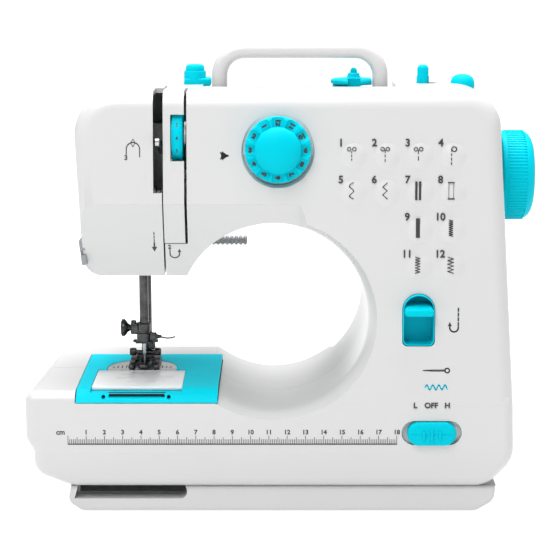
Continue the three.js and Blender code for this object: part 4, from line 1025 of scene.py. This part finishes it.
class SEWING_OT_markings(Step, bpy.types.Operator):
    """Prints the ruler, the threading signs and the switch labels"""

    bl_idname = "sewing.markings"
    bl_label = "Printed markings"

    def build(self, f):
        zero, line = RULER_ZERO, RULER_LINE
        ticks = [block(zero - 0.15, zero + RULER_LENGTH + 0.15, -PRINT, PRINT, line - 0.5, line + 0.1)]
        for i in range(RULER_LENGTH + 1):
            tall = 4.6 if i % 10 == 0 else 3.7 if i % 5 == 0 else 2.6
            ticks.append(block(zero + i - 0.16, zero + i + 0.16, -PRINT, PRINT, line, line + tall))
        piece(moved(merged(*ticks), (0, BASE_FRONT, 0)), "ruler_lines", f["ink"])
        words = [printed(letters(str(i), 3.5, 0.035), zero + 10 * i, 49.6, "base") for i in range(1, 19)]
        words.append(printed(letters("cm", 4.0, 0.03), zero - 4.0, 49.6, "base"))
        piece(merged(*words), "ruler_numbers", f["ink"])
        speeds = (("L", 71.9), ("OFF", 80.6), ("H", 89.4))
        labels = [printed(letters(text, 4.2, 0.035), x, 64.7) for text, x in speeds]
        piece(merged(*labels), "switch_labels", f["ink"])
        arch = stroke([(-3.6, -2.6), *arc(0, 0, 3.6, 180, 0, 14), (3.6, -4)], 0.55)
        loop = stroke([(0, 5.4), (1.2, 3.4), (0, 1.4), (-1.2, 3.4), (0, 5.4)], 0.35)
        shaft = stroke([(0, -1), (0, -3.4)], 0.9)
        down = merged(*dashes(0, 5.6, 1.2, 2.2, 3, 0.55), shaft, arrow_head(0, -6.4, -90, 3))
        bend = [(-2.6, 2.6), (-2.6, 0), *arc(0, 0, 2.6, 180, 360, 14), (2.6, 1.6)]
        turn = merged(stroke(bend, 0.6), arrow_head(2.6, 3, 90, 2))
        back = dashes(2.3, 6.4, 1.3, 2.6, 4, 0.85)
        back.append(stroke([(2.3, -3.6), *arc(0, -4, 2.3, 0, -180, 14), (-2.3, -2.4)], 0.8))
        back.append(arrow_head(-2.3, -0.9, 90, 2.3))
        needle = merged(
            stroke([(-7.4, 0), (-3, 0.28), (4.2, 0.3)], 0.5),
            stroke([(-7.4, 0), (-3, -0.28), (4.2, -0.3)], 0.5),
            stroke(arc(5.6, 0, 1.2, 0, 360, 16), 0.7),
        )
        wave = stroke([(-6 + 0.5 * k, 1.3 * math.sin(0.95 * k)) for k in range(25)], 0.8)
        piece(printed(wave, 83.2, 74.8), "thread_sign", f["trim"])
        dart = merged(
            stroke([(2.1, 0), (-1.9, 1.7)], 0.6),
            stroke([(2.1, 0), (-1.9, -1.7)], 0.6),
            arrow_head(2.6, 0.4, 12, 4.2),
            arrow_head(2.6, -0.4, -12, 4.2),
        )
        signs = [
            printed(merged(arch, loop, moved(letters("3", 3.6, 0.04), (-3.8, -4.6, 0))), -81, 203.6),
            printed(down, -70.6, 152.4, "under"),
            printed(merged(turn, moved(letters("2", 3.4, 0.04), (-2.7, 4.2, 0))), -59.6, 145.2, "under"),
            printed(merged(*back), 92.6, 111.4),
            printed(merged(dart), -32, 200.1),
            printed(needle, 83.5, 84),
        ]
        piece(merged(*signs), "threading_signs", f["ink"])


def zigzag(turns, width, height):
    """Points that cross from side to side going down."""
    return [((width if k % 2 else -width), height * (0.5 - k / turns)) for k in range(turns + 1)]


def dashes(x, top, length, gap, count, width):
    """A broken upright line: dashes of one length, their tops a gap apart."""
    return [stroke([(x, top - gap * k), (x, top - length - gap * k)], width) for k in range(count)]


def eyes():
    """Two small rings side by side, the sign of a buttonhole's start."""
    return [stroke(arc(x, 2.6, 1.0, 0, 360), 0.4) for x in (-1.4, 1.4)]


def stitch_signs():
    """The drawing of each stitch, in the chart's order."""
    shell = [
        (1.1, 4.4), (-0.8, 3.4), (-1.2, 2.2), (1.0, 0.4), (1.2, -0.4), (-0.9, -2.4), (-1.1, -3.2),
        (0.9, -4.4),
    ]
    return [
        eyes() + dashes(0, 1.2, 0.7, 1.9, 3, 0.5),
        eyes() + dashes(0, 1.9, 1.1, 2.4, 3, 0.5),
        eyes() + dashes(0, 1.9, 1.8, 3.4, 2, 0.5),
        [stroke(arc(1.4, 2.6, 1.3, 0, 360), 0.5)] + dashes(0, 2.6, 1.1, 2.4, 4, 0.5),
        [stroke(shell, 0.45)],
        [stroke([(1.2, 4.2), (-1.2, 2.0), (1.2, 0), (-1.2, -2.2), (1.2, -4.4)], 0.45)],
        [stroke([(x, 4.4), (x, -4.4)], 1.3) for x in (-1, 1)],
        [stroke([(x, 4.2), (x, -4.2)], 0.25) for x in (-1.3, 1.3)]
        + [stroke([(-1.5, z), (1.5, z)], 0.7) for z in (4.4, -4.4)],
        [stroke([(0, 4.2), (0, -4.2)], 2.2)],
        [stroke(zigzag(17, 0.9, 8.8), 0.5)],
        [stroke(zigzag(12, 1.2, 8.8), 0.45)],
        [stroke(zigzag(9, 1.5, 8.8), 0.45)],
    ]


class SEWING_OT_stitch_chart(Step, bpy.types.Operator):
    """Builds the soft bumps of the stitch chart, with their numbers and stitch signs"""

    bl_idname = "sewing.stitch_chart"
    bl_label = "Stitch chart"

    def build(self, f):
        cells = [(x, z) for z in CHART_ROWS[:2] for x in CHART_COLUMNS]
        cells += [(x, z) for z in CHART_ROWS[2:] for x in CHART_COLUMNS[2:]]
        bump = [
            (0, 1.3), (2.2, 1.2), (3.8, 0.92), (5.2, 0.5), (6.4, 0.16), (7.3, -0.05), (7.5, -0.4),
            (0, -0.4),
        ]
        domes, prints = [], []
        for i, ((x, z), sign) in enumerate(zip(cells, stitch_signs())):
            domes.append(printed(turned("z", bump, steps=48), x + 0.6, z - 0.8))
            prints.append(printed(moved(merged(*sign), (-0.7, 0.4, 1.28)), x, z))
            prints.append(printed(moved(letters(str(i + 1), 5.6, 0.025), (0, 0, 0.35)), x - 6.4, z + 6.2))
        piece(merged(*domes), "stitch_chart_bumps", f["white"])
        piece(merged(*prints), "stitch_chart_print", f["ink"])


class SEWING_OT_inner_works(Step, bpy.types.Operator):
    """Finishes the shafts, belts, hook, feed and sockets inside the body"""

    bl_idname = "sewing.inner_works"
    bl_label = "Inner works"

    def build(self, f):
        dress("rotary_hook feed_bar feed_dog main_shaft crank_disc lower_shaft motor_pulley", f["steel"])
        dress("main_frame needle_frame drive_link presser_spring tension_discs", f["steel"])
        dress("motor", f["dark"])
        dress("drive_belt timing_belt", f["rubber"])
        dress("bobbin_case power_socket pedal_socket", f["black"])
        dress("shaft_pulley", f["grey"])
        dress("shaft_bush_left shaft_bush_right timing_pulley cam_drum", f["ivory"])
        dress("bobbin", f["clear"])


class SEWING_OT_stage(bpy.types.Operator):
    """Sets the pale floor, the soft lights and the camera"""

    bl_idname = "sewing.stage"
    bl_label = "Stage"

    def execute(self, context):
        scene = context.scene
        bm = bmesh.new()
        bmesh.ops.create_grid(bm, x_segments=8, y_segments=8, size=20)
        floor = loose(bm, "studio_floor")
        paper = Finish(
            "studio_paper", Roughness=0.9, Emission_Color=(1, 1, 1, 1), Emission_Strength=PAPER_GLOW
        )
        paper.feed("Base Color", paper.blend(paper.noise(3.0), (0.38, 0.38, 0.38, 1), (0.35, 0.35, 0.35, 1)))
        floor.data.materials.append(paper.material)
        world = bpy.data.worlds.new("studio")
        world.use_nodes = True
        sky = world.node_tree.nodes["Background"].inputs
        sky["Color"].default_value = (1, 1, 1, 1)
        sky["Strength"].default_value = SKY
        scene.world = world
        for name, place, size, power in LIGHTS:
            data = bpy.data.lights.new(name, "AREA")
            data.size = size
            data.energy = power
            lamp = bpy.data.objects.new(name, data)
            lamp.location = place
            lamp.rotation_euler = (AIM - Vector(place)).to_track_quat("-Z", "Y").to_euler()
            scene.collection.objects.link(lamp)
        data = bpy.data.cameras.new("camera")
        data.lens = LENS
        data.sensor_width = 36
        camera = bpy.data.objects.new("camera", data)
        camera.location = CAMERA_AT
        camera.rotation_euler = (math.radians(CAMERA_TILT), 0, 0)
        scene.collection.objects.link(camera)
        scene.camera = camera
        scene.view_settings.view_transform = "Standard"
        return {"FINISHED"}


# ---------------------------------------------------------------- add-on
class SEWING_PG_look(bpy.types.PropertyGroup):
    body_colour: bpy.props.FloatVectorProperty(
        name="Body colour", description="Colour of the white mouldings", subtype="COLOR", size=3,
        default=(0.53, 0.53, 0.529), min=0, max=1,
    )
    trim_colour: bpy.props.FloatVectorProperty(
        name="Trim colour", description="Colour of the turquoise mouldings", subtype="COLOR", size=3,
        default=(0.0004, 0.48, 0.59), min=0, max=1,
    )
    edge_round: bpy.props.FloatProperty(
        name="Edge rounding", description="Radius of the body's long edges", unit="LENGTH", default=0.009,
        min=0.004, max=0.012,
    )


class SEWING_PT_panel(bpy.types.Panel):
    """Lists the steps that build the machine"""

    bl_label = "Sewing machine"
    bl_idname = "SEWING_PT_panel"
    bl_space_type = "VIEW_3D"
    bl_region_type = "UI"
    bl_category = "Sewing machine"

    def draw(self, context):
        look = context.scene.sewing_look
        for name in ("body_colour", "trim_colour", "edge_round"):
            self.layout.prop(look, name)
        for step in STEPS:
            self.layout.operator(step.bl_idname)


STEPS = (
    SEWING_OT_stage, SEWING_OT_body, SEWING_OT_pedestal, SEWING_OT_bed, SEWING_OT_hand_wheel,
    SEWING_OT_pattern_dial, SEWING_OT_tension, SEWING_OT_controls, SEWING_OT_handle,
    SEWING_OT_top_fittings, SEWING_OT_needle_works, SEWING_OT_markings, SEWING_OT_stitch_chart,
    SEWING_OT_inner_works,
)


def register():
    for cls in (SEWING_PG_look, *STEPS, SEWING_PT_panel):
        bpy.utils.register_class(cls)
    bpy.types.Scene.sewing_look = bpy.props.PointerProperty(type=SEWING_PG_look)


def unregister():
    del bpy.types.Scene.sewing_look
    for cls in reversed((SEWING_PG_look, *STEPS, SEWING_PT_panel)):
        bpy.utils.unregister_class(cls)


def main():
    register()
    for step in STEPS:
        group, name = step.bl_idname.split(".")
        getattr(getattr(bpy.ops, group), name)()
    bpy.context.view_layer.update()


if __name__ == "__main__":
    main()
